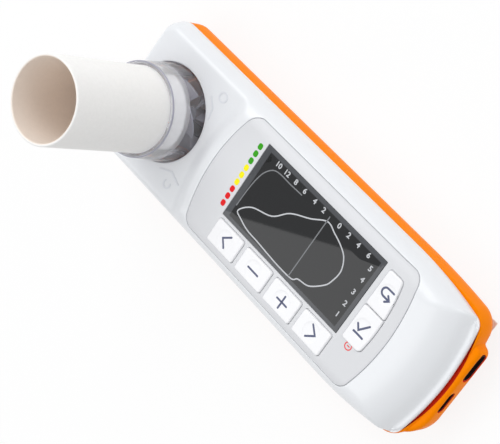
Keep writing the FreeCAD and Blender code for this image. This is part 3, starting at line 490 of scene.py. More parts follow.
def moulding(name, outer, holes, top, floor, spacing=1.0, edge=0.0, hole_edge=0.2, rings=(),
             walls=None, turned_over=False, creases=()):
    """A closed body raised from its plan: a face that follows a height, round edges, walls, a floor.

    rings are depths inside the outer loop that get their own row of points. walls gives, for the
    outer loop, the rows of (points, heights) from the face down to the floor. creases are loops
    on the face that edges have to follow.
    """
    if signed_area(outer) < 0:
        outer = outer[::-1]
    holes = [hole[::-1] if signed_area(hole) < 0 else hole for hole in holes]
    points, drops, loops, edge_loops, guards = [], [], [], [], []

    def add_loop(loop, drop):
        start = len(points)
        points.extend(map(tuple, loop))
        drops.extend([drop] * len(loop))
        loops.extend((start + i, start + (i + 1) % len(loop)) for i in range(len(loop)))
        guards.append(loop)
        return list(range(start, start + len(loop)))

    for index, loop in enumerate([outer] + holes):
        normals = inward_normals(loop) * (1 if index == 0 else -1)
        radius = edge if index == 0 else hole_edge
        for step, (offset, drop) in enumerate(edge_steps(radius)):
            ids = add_loop(loop + normals * offset, drop)
            if step == 0:
                edge_loops.append(ids)
    normals = inward_normals(outer)
    for depth in rings:
        add_loop(outer + normals * depth, 0.0)
    for loop in creases:
        add_loop(loop, 0.0)
    grid = face_grid(outer, holes, guards, spacing)
    points.extend(map(tuple, grid))
    drops.extend([0.0] * len(grid))
    verts, faces, source = triangulate(points, loops, outer, holes)
    lowered = np.array([drops[s] if 0 <= s else 0.0 for s in source])
    place = {}
    for new, ids in enumerate(source):
        place.setdefault(ids, new)
    heights = top(verts) - lowered
    body = [(x, y, z) for (x, y), z in zip(verts, heights)]
    mesh_faces = [tuple(int(i) for i in face) for face in faces]
    floor_points, floor_loops, floor_ids = [], [], []
    for index, ids in enumerate(edge_loops):
        rows = []
        count = len(ids)
        upper = [place.get(i, None) for i in ids]
        if any(u is None for u in upper):
            position = {(round(v[0], 5), round(v[1], 5)): n for n, v in enumerate(verts)}
            upper = [position[(round(points[i][0], 5), round(points[i][1], 5))] if u is None else u
                     for i, u in zip(ids, upper)]
        rows.append(upper)
        loop = np.array([points[i] for i in ids])
        extra = walls if index == 0 and walls else [(loop, np.full(count, floor))]
        for row_points, row_heights in extra:
            start = len(body)
            body.extend((p[0], p[1], z) for p, z in zip(row_points, row_heights))
            rows.append(list(range(start, start + count)))
        for upper_row, lower_row in zip(rows, rows[1:]):
            for i in range(count):
                j = (i + 1) % count
                quad = (upper_row[i], lower_row[i], lower_row[j], upper_row[j])
                mesh_faces.append(quad if index == 0 else quad[::-1])
        start = len(floor_points)
        last = extra[-1][0]
        floor_points.extend(map(tuple, last))
        floor_loops.extend((start + i, start + (i + 1) % count) for i in range(count))
        floor_ids.extend(rows[-1])
    hole_loops = [np.array([points[i] for i in ids]) for ids in edge_loops[1:]]
    outer_floor = np.array(floor_points[:len(edge_loops[0])])
    _, caps, cap_source = triangulate(floor_points, floor_loops, outer_floor, hole_loops)
    for face in caps:
        ids = [floor_ids[cap_source[i]] for i in face]
        if len(set(ids)) == 3:
            mesh_faces.append(tuple(ids[::-1]))
    if turned_over:
        body = [(x, y, -z) for x, y, z in body]
        mesh_faces = [face[::-1] for face in mesh_faces]
    return mesh_object(name, body, mesh_faces)


def turned_ring(name, profile, x=TUBE_X, y=0.0, count=128, sharp=40.0):
    """A ring turned about an upright axis, from a closed profile of (radius, height) points."""
    points, faces = [], []
    for radius, height in profile:
        for i in range(count):
            angle = 2 * math.pi * i / count
            points.append((x + radius * math.cos(angle), y + radius * math.sin(angle), height))
    rows = len(profile)
    for r in range(rows):
        s = (r + 1) % rows
        for i in range(count):
            j = (i + 1) % count
            faces.append((r * count + i, r * count + j, s * count + j, s * count + i))
    obj = mesh_object(name, points, faces, sharp)
    face_outwards(obj)
    return obj


def face_outwards(obj):
    mesh = bmesh.new()
    mesh.from_mesh(obj.data)
    bmesh.ops.remove_doubles(mesh, verts=mesh.verts, dist=1e-7)
    bmesh.ops.recalc_face_normals(mesh, faces=mesh.faces)
    mesh.to_mesh(obj.data)
    mesh.free()


def joined(name, objects):
    """One object from several."""
    mesh = bmesh.new()
    for obj in objects:
        mesh.from_mesh(obj.data)
    data = bpy.data.meshes.new(name)
    mesh.to_mesh(data)
    mesh.free()
    for obj in objects:
        bpy.data.objects.remove(obj, do_unlink=True)
    return placed(name, data)


def evaluated_mesh(obj):
    """A plain mesh of an object as its modifiers leave it."""
    view = bpy.context.evaluated_depsgraph_get()
    return bpy.data.meshes.new_from_object(obj.evaluated_get(view))


def combine(obj, other, operation):
    """Cuts one body out of another, or fuses the two, and keeps the result as a plain mesh."""
    modifier = obj.modifiers.new("combine", "BOOLEAN")
    modifier.operation = operation
    modifier.solver = "EXACT"
    modifier.material_mode = "TRANSFER"
    modifier.object = other
    mesh = evaluated_mesh(obj)
    obj.modifiers.clear()
    obj.data = mesh
    bpy.data.objects.remove(other, do_unlink=True)


# nodes, shader groups and materials


def feed(tree, made, values):
    """Gives each named input of a node a value, or a link from another node's socket."""
    for name, value in values.items():
        if isinstance(value, bpy.types.NodeSocket):
            tree.links.new(value, made.inputs[name])
        else:
            made.inputs[name].default_value = value


def node(tree, kind, values=None, **settings):
    """A new node with its settings and its inputs."""
    made = tree.nodes.new(kind)
    for name, value in settings.items():
        setattr(made, name, value)
    feed(tree, made, values or {})
    return made


def math_node(tree, operation, *values):
    return node(tree, "ShaderNodeMath", dict(enumerate(values)), operation=operation).outputs[0]


def vector_node(tree, operation, values):
    return node(tree, "ShaderNodeVectorMath", values, operation=operation).outputs


def map_range(tree, value, source=(0.0, 1.0), result=(0.0, 1.0)):
    """A value carried over from one range to another."""
    limits = {"From Min": source[0], "From Max": source[1], "To Min": result[0], "To Max": result[1]}
    return node(tree, "ShaderNodeMapRange", {"Value": value, **limits}).outputs["Result"]


def mix_color(tree, share, first, second):
    values = {"Factor": share, "A": first, "B": second}
    return node(tree, "ShaderNodeMix", values, data_type="RGBA").outputs["Result"]


def mix_shader(tree, share, first, second):
    return node(tree, "ShaderNodeMixShader", {"Fac": share, 1: first, 2: second}).outputs["Shader"]


def bump(tree, height, distance, strength):
    values = {"Height": height, "Distance": distance, "Strength": strength}
    return node(tree, "ShaderNodeBump", values).outputs["Normal"]


def object_place(tree, x=0.0, y=0.0):
    """Object coordinates, from a centre given in millimetres."""
    place = node(tree, "ShaderNodeTexCoord").outputs["Object"]
    if x == y == 0.0:
        return place
    values = {"Vector": place, "Location": (-x * MM, -y * MM, 0.0)}
    return node(tree, "ShaderNodeMapping", values).outputs["Vector"]


def separated(tree, vector):
    return node(tree, "ShaderNodeSeparateXYZ", {"Vector": vector}).outputs


def straight_or_mirrored(tree, rays):
    """1 for rays from the camera, straight, mirrored or through something clear."""
    mirrored = math_node(tree, "MAXIMUM", rays["Is Glossy Ray"], rays["Is Transmission Ray"])
    return math_node(tree, "MAXIMUM", rays["Is Camera Ray"], mirrored)


def shaded(name):
    """A new material, its tree and its shader."""
    material = bpy.data.materials.new(name)
    material.use_nodes = True
    return material, material.node_tree, material.node_tree.nodes["Principled BSDF"]


def mould_grain_group():
    """Fine moulded grain: a little change of colour, roughness and height over the surface."""
    group = bpy.data.node_groups.new("MouldGrain", "ShaderNodeTree")
    face = group.interface
    face.new_socket("Color", in_out="INPUT", socket_type="NodeSocketColor")
    for name, value in (("Grain per metre", 4000.0), ("Cloud per metre", 60.0), ("Color change", 0.02),
                        ("Roughness", 0.35), ("Roughness change", 0.05)):
        face.new_socket(name, in_out="INPUT", socket_type="NodeSocketFloat").default_value = value
    for name, kind in (("Color", "Color"), ("Roughness", "Float"), ("Height", "Float")):
        face.new_socket(name, in_out="OUTPUT", socket_type="NodeSocket" + kind)
    given = group.nodes.new("NodeGroupInput").outputs
    place = object_place(group)
    grain, cloud = [node(group, "ShaderNodeTexNoise",
                         {"Vector": place, "Scale": given[scale], "Detail": detail}).outputs["Fac"]
                    for scale, detail in (("Grain per metre", 3.0), ("Cloud per metre", 2.0))]
    grain_shift, cloud_shift = [math_node(group, "SUBTRACT", noise, 0.5) for noise in (grain, cloud)]
    brightness = math_node(group, "MULTIPLY_ADD", cloud_shift, given["Color change"], 1.0)
    shade = vector_node(group, "SCALE", {0: given["Color"], "Scale": brightness})[0]
    both = math_node(group, "ADD", cloud_shift, grain_shift)
    unevenness = math_node(group, "MULTIPLY", both, given["Roughness change"])
    rough = math_node(group, "ADD", given["Roughness"], unevenness)
    node(group, "NodeGroupOutput", {"Color": shade, "Roughness": rough, "Height": grain})
    return group


GRAIN = mould_grain_group()


def srgb(red, green, blue):
    def channel(value):
        value = value / 255.0
        return value / 12.92 if value <= 0.04045 else ((value + 0.055) / 1.055) ** 2.4
    return (channel(red), channel(green), channel(blue), 1.0)


def moulded(name, color, roughness=0.35, change=0.03, rough_change=0.08, grain=4000.0, cloud=60.0,
            height=0.00001, coat=0.0, metallic=0.0, specular=0.5):
    """A moulded, printed or metal finish with fine grain and a slight unevenness."""
    material, tree, shader = shaded(name)
    group = node(tree, "ShaderNodeGroup",
                 {"Color": color, "Grain per metre": grain, "Cloud per metre": cloud, "Color change": change,
                  "Roughness": roughness, "Roughness change": rough_change}, node_tree=GRAIN)
    feed(tree, shader, {"Metallic": metallic, "Coat Weight": coat, "Coat Roughness": 0.08,
                        "Specular IOR Level": specular, "Base Color": group.outputs["Color"],
                        "Roughness": group.outputs["Roughness"],
                        "Normal": bump(tree, group.outputs["Height"], height, 0.5)})
    return material


def clear_plastic(name, color, roughness, clearness):
    """Clear moulded plastic with faint flow marks; shadow and diffuse rays pass straight through."""
    material, tree, shader = shaded(name)
    flow = node(tree, "ShaderNodeTexNoise", {"Scale": 180.0, "Vector": object_place(tree)}).outputs["Fac"]
    feed(tree, shader, {"Base Color": color, "Transmission Weight": clearness, "IOR": 1.12,
                        "Coat Weight": 0.5, "Coat Roughness": 0.05,
                        "Roughness": map_range(tree, flow, result=(roughness * 0.7, roughness * 1.4)),
                        "Normal": bump(tree, flow, 0.00003, 0.4)})
    rays = node(tree, "ShaderNodeLightPath").outputs
    passing = math_node(tree, "MAXIMUM", rays["Is Shadow Ray"], rays["Is Diffuse Ray"])
    through = node(tree, "ShaderNodeBsdfTransparent", {"Color": (0.93, 0.93, 0.95, 1.0)}).outputs["BSDF"]
    either = mix_shader(tree, passing, shader.outputs["BSDF"], through)
    feed(tree, tree.nodes["Material Output"], {"Surface": either})
    return material


def window_glass(name, field, border):
    """Dark display behind clear glass: a dark field with a lighter border and a faint print grain."""
    material = moulded(name, field, 0.02, 0.04, 0.01, 3000.0, 50.0, 0.0000005, specular=0.35)
    tree = material.node_tree
    group = next(n for n in tree.nodes if n.type == "GROUP")
    parts = separated(tree, vector_node(tree, "ABSOLUTE", {0: object_place(tree, FIELD_X, FIELD_Y)})["Vector"])
    beyond = [map_range(tree, parts[axis], ((half - 0.15) * MM, (half + 0.15) * MM))
              for axis, half in (("X", FIELD_LENGTH / 2), ("Y", FIELD_WIDTH / 2))]
    feed(tree, group, {"Color": mix_color(tree, math_node(tree, "MAXIMUM", *beyond), field, border)})
    return material


PAPER_TURN = (0.01400, 0.01445)


def paper_board(name, outside, inside):
    """Rolled paper board: warm white outside, tan inside, with fibres; the inside's tan is painted lighter for
    the light that comes through the wall.
    """
    material, tree, shader = shaded(name)
    parts = separated(tree, object_place(tree, TUBE_X, 0.0))
    flat = node(tree, "ShaderNodeCombineXYZ", {"X": parts["X"], "Y": parts["Y"]}).outputs["Vector"]
    wall = map_range(tree, vector_node(tree, "LENGTH", {0: flat})["Value"], PAPER_TURN)
    fibre = node(tree, "ShaderNodeTexNoise", {"Scale": 900.0, "Detail": 6.0, "Roughness": 0.7,
                                              "Vector": object_place(tree)}).outputs["Fac"]
    speck = map_range(tree, fibre, (0.3, 0.7), (0.955, 1.0))
    shade = vector_node(tree, "SCALE", {0: mix_color(tree, wall, inside, outside), "Scale": speck})[0]
    feed(tree, shader, {"Specular IOR Level": 0.25, "Base Color": shade,
                        "Roughness": map_range(tree, fibre, result=(0.75, 0.95)),
                        "Normal": bump(tree, fibre, 0.00006, 0.6)})
    return material


SHELL_WHITE = moulded("HousingWhite", srgb(235, 237, 240), 0.32, 0.012, 0.06, 5000.0, 40.0, 0.000006, 0.2)
SHELL_ORANGE = moulded("HousingOrange", srgb(255, 138, 0), 0.36, 0.03, 0.06, 5000.0, 40.0, 0.000006,
                       specular=0.03)
# Darker red copy of the orange housing: painted shade for the faces inside the rim slit and the port slots'
# flared mouths.
SHELL_PAINTED_SHADE = moulded("HousingPaintedShade", srgb(226, 44, 8), 0.5, 0.06, 0.06, 5000.0, 60.0, 0.000006, specular=0.12)
# Near-black painted shade for the sleeves that line the port slots.
PORT_PAINTED_SHADE = moulded("PortPaintedShade", srgb(26, 16, 16), 0.6, 0.08, 0.1, 6000.0, 250.0, specular=0.2)
EMBOSSED_GREY = moulded("EmbossedGrey", srgb(226, 228, 233), 0.4, 0.02, 0.06, 5000.0, 60.0)
PANEL_GREY = moulded("PanelGrey", srgb(219, 220, 223), 0.45, 0.012, 0.08, 7000.0, 50.0, 0.000012)
KEY_WHITE = moulded("KeyWhite", srgb(247, 247, 249), 0.4, 0.012, 0.08, 6000.0, 80.0, 0.00001)
WINDOW_GLASS = window_glass("WindowGlass", srgb(22, 23, 25), srgb(74, 76, 80))
SCREEN_LINE = moulded("ScreenLine", srgb(196, 198, 202), 0.4, 0.08, 0.05, 9000.0, 200.0)
SCREEN_DIM = moulded("ScreenDim", srgb(118, 120, 124), 0.4, 0.08, 0.05, 9000.0, 200.0)
GLYPH_SLATE = moulded("GlyphSlate", srgb(80, 86, 116), 0.5, 0.05, 0.05, 9000.0, 300.0)
GLYPH_RED = moulded("GlyphRed", srgb(232, 84, 84), 0.5, 0.05, 0.05, 9000.0, 300.0)
DOT_RED = moulded("DotRed", srgb(228, 26, 30), 0.4, 0.05, 0.05, 8000.0, 300.0, specular=0.15)
DOT_YELLOW = moulded("DotYellow", srgb(252, 240, 28), 0.4, 0.05, 0.05, 8000.0, 300.0, specular=0.15)
DOT_GREEN = moulded("DotGreen", srgb(56, 160, 24), 0.4, 0.05, 0.05, 8000.0, 300.0, specular=0.15)
# The inside colour is the board's tan, painted lighter to stand in for light shining through the paper wall.
PAPER = paper_board("PaperBoard", srgb(249, 248, 246), srgb(251, 239, 228))
CLEAR = clear_plastic("ClearPlastic", (0.92, 0.92, 0.93, 1.0), 0.03, 0.72)
CLEAR_FOOT = clear_plastic("ClearPlasticFoot", (0.95, 0.95, 0.97, 1.0), 0.01, 0.96)
# Opaque grey for the clear collar's top outer edge: a painted reflection line along that edge.
COLLAR_PAINTED_LINE = moulded("CollarPaintedLine", srgb(158, 158, 172), 0.2, 0.04, 0.05, 3000.0, 120.0, 0.000004, 0.3)
BLADE_SMOKE = moulded("BladeSmoke", srgb(176, 176, 186), 0.2, 0.05, 0.05, 3000.0, 90.0, 0.000004, 0.3)
STEEL = moulded("ContactSteel", srgb(176, 174, 170), 0.28, 0.06, 0.12, 6000.0, 300.0, 0.000003, 0.0, 1.0)
BRASS = moulded("BearingBrass", srgb(196, 164, 96), 0.3, 0.06, 0.1, 6000.0, 300.0, 0.000003, 0.0, 1.0)
RUBBER = moulded("MatRubber", srgb(70, 72, 76), 0.75, 0.06, 0.1, 5000.0, 120.0, 0.00002)
BOARD = moulded("BoardGreen", srgb(28, 88, 52), 0.35, 0.12, 0.1, 2500.0, 250.0, 0.00001, 0.3)
CHIP = moulded("ChipBlack", srgb(34, 34, 36), 0.6, 0.08, 0.1, 9000.0, 250.0, 0.00001)
SOCKET_DARK = moulded("SocketDark", srgb(44, 26, 22), 0.55, 0.08, 0.1, 6000.0, 250.0, 0.00001)
INNER_GREY = moulded("InnerGrey", srgb(206, 206, 210), 0.5, 0.03, 0.1, 5000.0, 90.0, 0.00001)
LCD_DARK = moulded("LcdDark", srgb(40, 42, 44), 0.15, 0.05, 0.05, 3000.0, 90.0)
CELL_WRAP = moulded("CellWrap", srgb(70, 76, 84), 0.3, 0.06, 0.08, 3000.0, 120.0, 0.000004, 0.3)


def dress(name, material):
    """Gives a carried-over piece its finish."""
    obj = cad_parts[name]
    obj.data.materials.clear()
    obj.data.materials.append(material)


def finish_piece(obj, material, body, *replaced, slot=None):
    """Sets a piece's finish, unless it has two already, its body and the pieces it stands for."""
    if len(obj.data.materials) < 2:
        obj.data.materials.clear()
        obj.data.materials.append(material)
    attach(obj, body)
    if replaced:
        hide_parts(*replaced)
    return obj


# case

FRONT = body_outline(FRONT_TAPER, RIM_X, RIM_CORNER)
SIDE_ROWS = [FRONT_ROUND * (1 - math.cos(math.radians(a))) for a in np.arange(7.5, 68, 7.5)]


def front_shell():
    normals = inward_normals(FRONT)
    count = len(FRONT)
    walls = [(FRONT, np.full(count, SEAM + 0.25)),
             (FRONT + normals * 0.08, np.full(count, SEAM + 0.08)),
             (FRONT + normals * 0.25, np.full(count, SEAM))]
    holes = [panel_outline(PANEL_GAP), circle(TUBE_X, 0.0, BORE_RADIUS, 144)]
    shell = moulding("front_shell_skin", FRONT, holes, front_height, SEAM, 0.9, 0.0, 0.3, SIDE_ROWS, walls)
    openings = [key_outline(name, 2 * KEY_GAP) for name in KEYS]
    openings.append(rectangle(WINDOW_X, WINDOW_Y, WINDOW_LENGTH - 2.8, WINDOW_WIDTH - 2.8, 0.3))
    recess = moulding("panel_recess", panel_outline(PANEL_GAP + 0.6), openings,
                      lambda points: front_height(points) - PANEL_THICKNESS, RECESS_FLOOR, 2.0, 0.0, 0.0)
    return joined("front_shell_skin", [shell, recess])


def front_panel():
    holes = [key_outline(name, KEY_GAP) for name in KEYS]
    holes.append(rectangle(WINDOW_X, WINDOW_Y, WINDOW_LENGTH + 0.2, WINDOW_WIDTH + 0.2, 0.3))
    return moulding("front_panel_skin", panel_outline(0.0), holes, front_height, PANEL_FLOOR, 1.0, 0.3, 0.25,
                    (1.0, 1.9, 2.9, 4.0))


def flat_top(level):
    return lambda points: np.full(len(points), level)


def display_window():
    outline = rectangle(WINDOW_X, WINDOW_Y, WINDOW_LENGTH, WINDOW_WIDTH, 0.3, 2.0)
    return moulding("display_window_skin", outline, [], flat_top(PANEL_TOP), WINDOW_FLOOR, 6.0, 0.15)


def key_centre(name):
    outline = key_outline(name, 0.0)
    low, high = outline.min(0), outline.max(0)
    return (low + high) / 2


def key_height(name):
    centre = key_centre(name)

    def height(points):
        far = np.hypot(points[:, 0] - centre[0], points[:, 1] - centre[1])
        share = np.clip(far / DISH_RADIUS, 0, 1)
        return KEY_TOP - DISH_DEPTH * (1 - share ** 6)
    return height


def key_cap(name):
    centre = key_centre(name)
    creases = [circle(centre[0], centre[1], DISH_RADIUS + extra, 64)
               for extra in (-0.7, -0.4, -0.2, 0.0, 0.1)]
    cap = moulding(name + "_cap", key_outline(name, 0.05), [], key_height(name), KEY_FLOOR, 0.5, KEY_EDGE,
                   creases=creases)
    low, high = key_outline(name, 0.0).min(0), key_outline(name, 0.0).max(0)
    flange = moulding(name + "_flange", rectangle(centre[0], centre[1], high[0] - low[0] + 1.4,
                                                  high[1] - low[1] - 0.02, 0.2, 3.0),
                      [], flat_top(FLANGE_TOP), KEY_FLOOR + 0.001, 20.0, 0.1)
    return joined(name + "_skin", [cap, flange])


REAR = body_outline(BACK_TAPER, BACK_FOOT_X, BACK_CORNER)


def rear_height(points):
    """Height below the seam of the rear shell's face, seen from the back."""
    depth = np.clip(distance_to(points, REAR), 0, BACK_ROUND)
    depth = np.where(points_inside(points, REAR), depth, 0.0)
    return np.sqrt(np.maximum(BACK_ROUND ** 2 - (BACK_ROUND - depth) ** 2, 0)) - BACK_ROUND


def quarter(radius, steps=4):
    """(inset, drop) pairs down a quarter round, from its flat to its side."""
    angles = [math.pi / 2 * i / steps for i in range(steps + 1)]
    return [(radius * (1 - math.sin(a)), radius * (1 - math.cos(a))) for a in angles]


def socket_boss():
    outline, share = boss_outline()
    normals = inward_normals(outline)

    def row(inset, level):
        return outline + normals * (inset * share)[:, None], np.full(len(outline), level)

    walls = [row(inset, BOSS_TOP - drop) for inset, drop in quarter(BOSS_EDGE)[1:]]
    walls += [row(inset, BOSS_FOOT + drop) for inset, drop in quarter(BOSS_ROUND, 6)[::-1]]
    return moulding("socket_boss", row(BOSS_EDGE, 0.0)[0], [], flat_top(BOSS_TOP), BOSS_FOOT, 3.0,
                    walls=walls)


def rim_slit():
    across = np.linspace(-SLIT_SPAN, SLIT_SPAN, 61)
    inner = [(FOOT_CENTRE + math.sqrt(SLIT_INNER ** 2 - y * y), y) for y in across]
    reaches = SLIT_OUTER - SLIT_NARROWING * (across / SLIT_SPAN) ** 2
    outer = [(FOOT_CENTRE + math.sqrt(reach ** 2 - y * y), y) for reach, y in zip(reaches, across)]
    return moulding("rim_slit", np.array(outer + inner[::-1]), [], flat_top(SEAM + 0.6), SLIT_FLOOR, 60.0)


DATA_SLOT = (-4.9, 11.1, 7.9, 2.4)
SENSOR_SLOT = (9.8, 10.0, 10.4, 3.8)
SOCKET_X = 70.5
DOOR_OPENING = (6.3, 0.0, 59.5, 27.4, 2.2)
SCREW_WELLS = [(-33.0, -17.0), (-33.0, 17.0), (66.0, -16.0), (66.0, 16.0)]
WELL_RADIUS = 2.3


def rear_shell():
    count = len(REAR)
    normals = inward_normals(REAR)
    walls = [(REAR + normals * inset, np.full(count, drop - SEAM)) for inset, drop in quarter(0.2, 3)[::-1]]
    holes = [circle(TUBE_X, 0.0, OUTLET_RADIUS, 128), rectangle(*DOOR_OPENING)]
    holes += [circle(x, y, WELL_RADIUS, 40) for x, y in SCREW_WELLS]
    rings = [BACK_ROUND * (1 - math.cos(math.radians(a))) for a in range(8, 75, 8)]
    shell = moulding("rear_shell_skin", REAR, holes, rear_height, -SEAM, 3.0, 0.0, 0.3, rings, walls,
                     turned_over=True)
    boss = socket_boss()
    for piece in (shell, boss):
        piece.data.materials.append(SHELL_ORANGE)
    combine(shell, boss, "UNION")
    # The slit's and slots' walls take the painted-shade red, which stands in for the shade in these recesses.
    for cutter in (rim_slit(), slot_body(*DATA_SLOT, SOCKET_X, HALF_LENGTH, 0.35),
                   slot_body(*SENSOR_SLOT, SOCKET_X, HALF_LENGTH, 0.6)):
        cutter.data.materials.append(SHELL_PAINTED_SHADE)
        combine(shell, cutter, "DIFFERENCE")
    smooth_but_sharp(shell.data, 30.0)
    return shell


def slot_body(y, level, width, height, start, end, flare):
    """A round-ended slot along X that widens towards its mouth."""
    radius = height / 2
    half = width / 2 - radius
    ring = []
    for tip in (1, -1):
        for i in range(24):
            angle = math.pi * i / 23 - tip * math.pi / 2
            out, up = math.cos(angle), math.sin(angle)
            ring.append((tip * half + radius * out, radius * up, out, up))
    stations = [(start, 0.0), (end, 0.0)]
    if flare:
        stations = [(start, 0.0), (end - 1.0, 0.0), (end, flare), (end + 3.0, flare * 3.4)]
    points, faces = [], []
    for x, growth in stations:
        for v, w, nv, nw in ring:
            points.append((x, y + v + growth * nv, level + w + growth * nw))
    count = len(ring)
    for s in range(len(stations) - 1):
        for i in range(count):
            j = (i + 1) % count
            faces.append((s * count + i, s * count + j, (s + 1) * count + j, (s + 1) * count + i))
    faces.append(tuple(range(count))[::-1])
    faces.append(tuple(range((len(stations) - 1) * count, len(stations) * count)))
    obj = mesh_object("slot_cutter", points, faces)
    face_outwards(obj)
    return obj


finish_piece(front_shell(), SHELL_WHITE, "body", "front_shell", slot="shell_white")
finish_piece(front_panel(), PANEL_GREY, "body", "front_panel", slot="panel_grey")
finish_piece(display_window(), WINDOW_GLASS, "body", "display_window", slot="window")
finish_piece(rear_shell(), SHELL_ORANGE, "body", "rear_shell", slot="shell_orange")


def slot_shade_liner(place):
    """Black sleeve that lines a slot from its socket to just behind the mouth: painted shade for the slot's
    shadowed inside.
    """
    y, level, width, height = place
    sleeve = slot_body(y, level, width + 0.04, height + 0.04, 74.0, HALF_LENGTH - 0.2, 0.0)
    inside = slot_body(y, level, width - 0.3, height - 0.3, 73.0, HALF_LENGTH + 1.0, 0.0)
    combine(sleeve, inside, "DIFFERENCE")
    return sleeve


shade_liners = joined("port_liners", [slot_shade_liner(DATA_SLOT), slot_shade_liner(SENSOR_SLOT)])
smooth_but_sharp(shade_liners.data, 30.0)
finish_piece(shade_liners, PORT_PAINTED_SHADE, "body")
for name in KEYS:
    finish_piece(key_cap(name), KEY_WHITE, name + "_body", name, slot="key_white")

# turbine and mouthpiece


COLLAR_STEP, COLLAR_SEAT, COLLAR_TOP = 22.6, 29.4, 37.8
COLLAR_WIDE, COLLAR_NARROW = 17.4, 16.65
PAINTED_LINE_LIMITS = (16.05, 37.3)


def turbine_body():
    """Clear body with a collar that tapers from its step, past the tube's seat, to its top."""
    share = (COLLAR_SEAT - COLLAR_STEP) / (COLLAR_TOP - COLLAR_STEP)
    at_seat = round(COLLAR_WIDE + (COLLAR_NARROW - COLLAR_WIDE) * share, 3)
    corners = [(14.2, 1.0), (16.2, 1.0), (16.2, 19.8), (COLLAR_WIDE, 19.8), (COLLAR_WIDE, COLLAR_STEP),
               (at_seat, COLLAR_SEAT), (COLLAR_NARROW, COLLAR_TOP), (15.2, COLLAR_TOP),
               (15.2, COLLAR_SEAT), (14.2, COLLAR_SEAT)]
    radii = [0.2, 0.2, 0.1, 0.3, 0.5, 0, 0.45, 0.25, 0.1, 0.2]
    return turned_ring("turbine_body_skin", rounded_profile(corners, radii))


def mouthpiece():
    corners = [(TUBE_INNER, TUBE_FOOT), (TUBE_OUTER, TUBE_FOOT), (TUBE_OUTER, TUBE_TOP), (TUBE_INNER, TUBE_TOP)]
    profile = rounded_profile(corners, [0.3, 0.3, 0.5, 0.5])
    return turned_ring("mouthpiece_skin", profile, count=160)


collar = finish_piece(turbine_body(), CLEAR, "turbine", "turbine_body", slot="turbine_clear")
collar.data.materials.append(COLLAR_PAINTED_LINE)
collar.data.materials.append(CLEAR_FOOT)
# Faces on the collar's top outer edge take the painted reflection line; faces below the tube's seat take the
# clearer plastic.
for face in collar.data.polygons:
    reach = math.hypot(face.center.x - TUBE_X * MM, face.center.y)
    if face.center.z > PAINTED_LINE_LIMITS[1] * MM and reach > PAINTED_LINE_LIMITS[0] * MM:
        face.material_index = 1
    elif face.center.z < COLLAR_SEAT * MM:
        face.material_index = 2
finish_piece(mouthpiece(), PAPER, "tube", "mouthpiece", slot="paper_white")
CARRIED_OVER = (
    (BRASS, "front_bearing rear_bearing"),
    (STEEL, "rotor_shaft door_screw case_screws dome_switches radio_module battery_springs battery_contacts"),
    (CHIP, "rotor_vane board_chips buzzer ir_emitters ir_detectors"),
    (INNER_GREY, "turbine_socket battery_tray lcd_frame"),
    (SHELL_ORANGE, "battery_door"),
    (SOCKET_DARK, "usb_socket sensor_socket"),
    (RUBBER, "key_mat"),
    (BOARD, "main_board sensor_board"),
    (LCD_DARK, "lcd_panel"),
    (CELL_WRAP, "battery_cell_left battery_cell_right"))
for material, names in CARRIED_OVER:
    for name in names.split():
        dress(name, material)

# swirl blades, dots, marks and numbers


def row_tree():
    """Geometry nodes that repeat one piece at even steps and turns."""
    tree = bpy.data.node_groups.new("RowOfPieces", "GeometryNodeTree")
    face = tree.interface
    for name, kind in (("Geometry", "Geometry"), ("Piece", "Object"), ("Count", "Int"), ("Start", "Vector"),
                       ("Step", "Vector"), ("Turn", "Float"), ("Material", "Material")):
        face.new_socket(name, in_out="INPUT", socket_type="NodeSocket" + kind)
    face.new_socket("Geometry", in_out="OUTPUT", socket_type="NodeSocketGeometry")
    given = tree.nodes.new("NodeGroupInput").outputs
    index = node(tree, "GeometryNodeInputIndex").outputs["Index"]
    shift = vector_node(tree, "SCALE", {0: given["Step"], "Scale": index})[0]
    place = vector_node(tree, "ADD", {0: given["Start"], 1: shift})[0]
    points = node(tree, "GeometryNodePoints", {"Count": given["Count"], "Position": place}).outputs["Points"]
    turn = node(tree, "ShaderNodeCombineXYZ", {"Z": math_node(tree, "MULTIPLY", index, given["Turn"])})
    piece = node(tree, "GeometryNodeObjectInfo", {"Object": given["Piece"]}).outputs["Geometry"]
    row = node(tree, "GeometryNodeInstanceOnPoints",
               {"Points": points, "Instance": piece, "Rotation": turn.outputs["Vector"]}).outputs["Instances"]
    real = node(tree, "GeometryNodeRealizeInstances", {"Geometry": row}).outputs["Geometry"]
    painted = node(tree, "GeometryNodeSetMaterial", {"Geometry": real, "Material": given["Material"]})
    node(tree, "NodeGroupOutput", {"Geometry": painted.outputs["Geometry"]})
    return tree


ROW = row_tree()


def repeated(name, piece, count, start, step, turn, material):
    """A plain mesh of one piece repeated in a row or a ring; the single piece is removed."""
    values = {"Piece": piece, "Count": count, "Start": [v * MM for v in start], "Step": [v * MM for v in step],
              "Turn": turn, "Material": material}
    holder = placed(name, bpy.data.meshes.new(name))
    modifier = holder.modifiers.new("row", "NODES")
    modifier.node_group = ROW
    for socket in ROW.interface.items_tree:
        if socket.in_out == "INPUT" and socket.name in values:
            modifier[socket.identifier] = values[socket.name]
    holder.update_tag()
    mesh = evaluated_mesh(holder)
    holder.modifiers.clear()
    holder.data = mesh
    bpy.data.objects.remove(piece, do_unlink=True)
    return holder


BLADE_REACH, BLADE_ROOT, BLADE_THICKNESS = 14.1, 2.9, 1.0
BLADE_TWIST = math.radians(48)
BLADES = 6
BLADE_SETBACK = 0.4
HUB_RADIUS, BEARING_RADIUS, BEARING_HEIGHT = 3.2, 1.55, 2.85


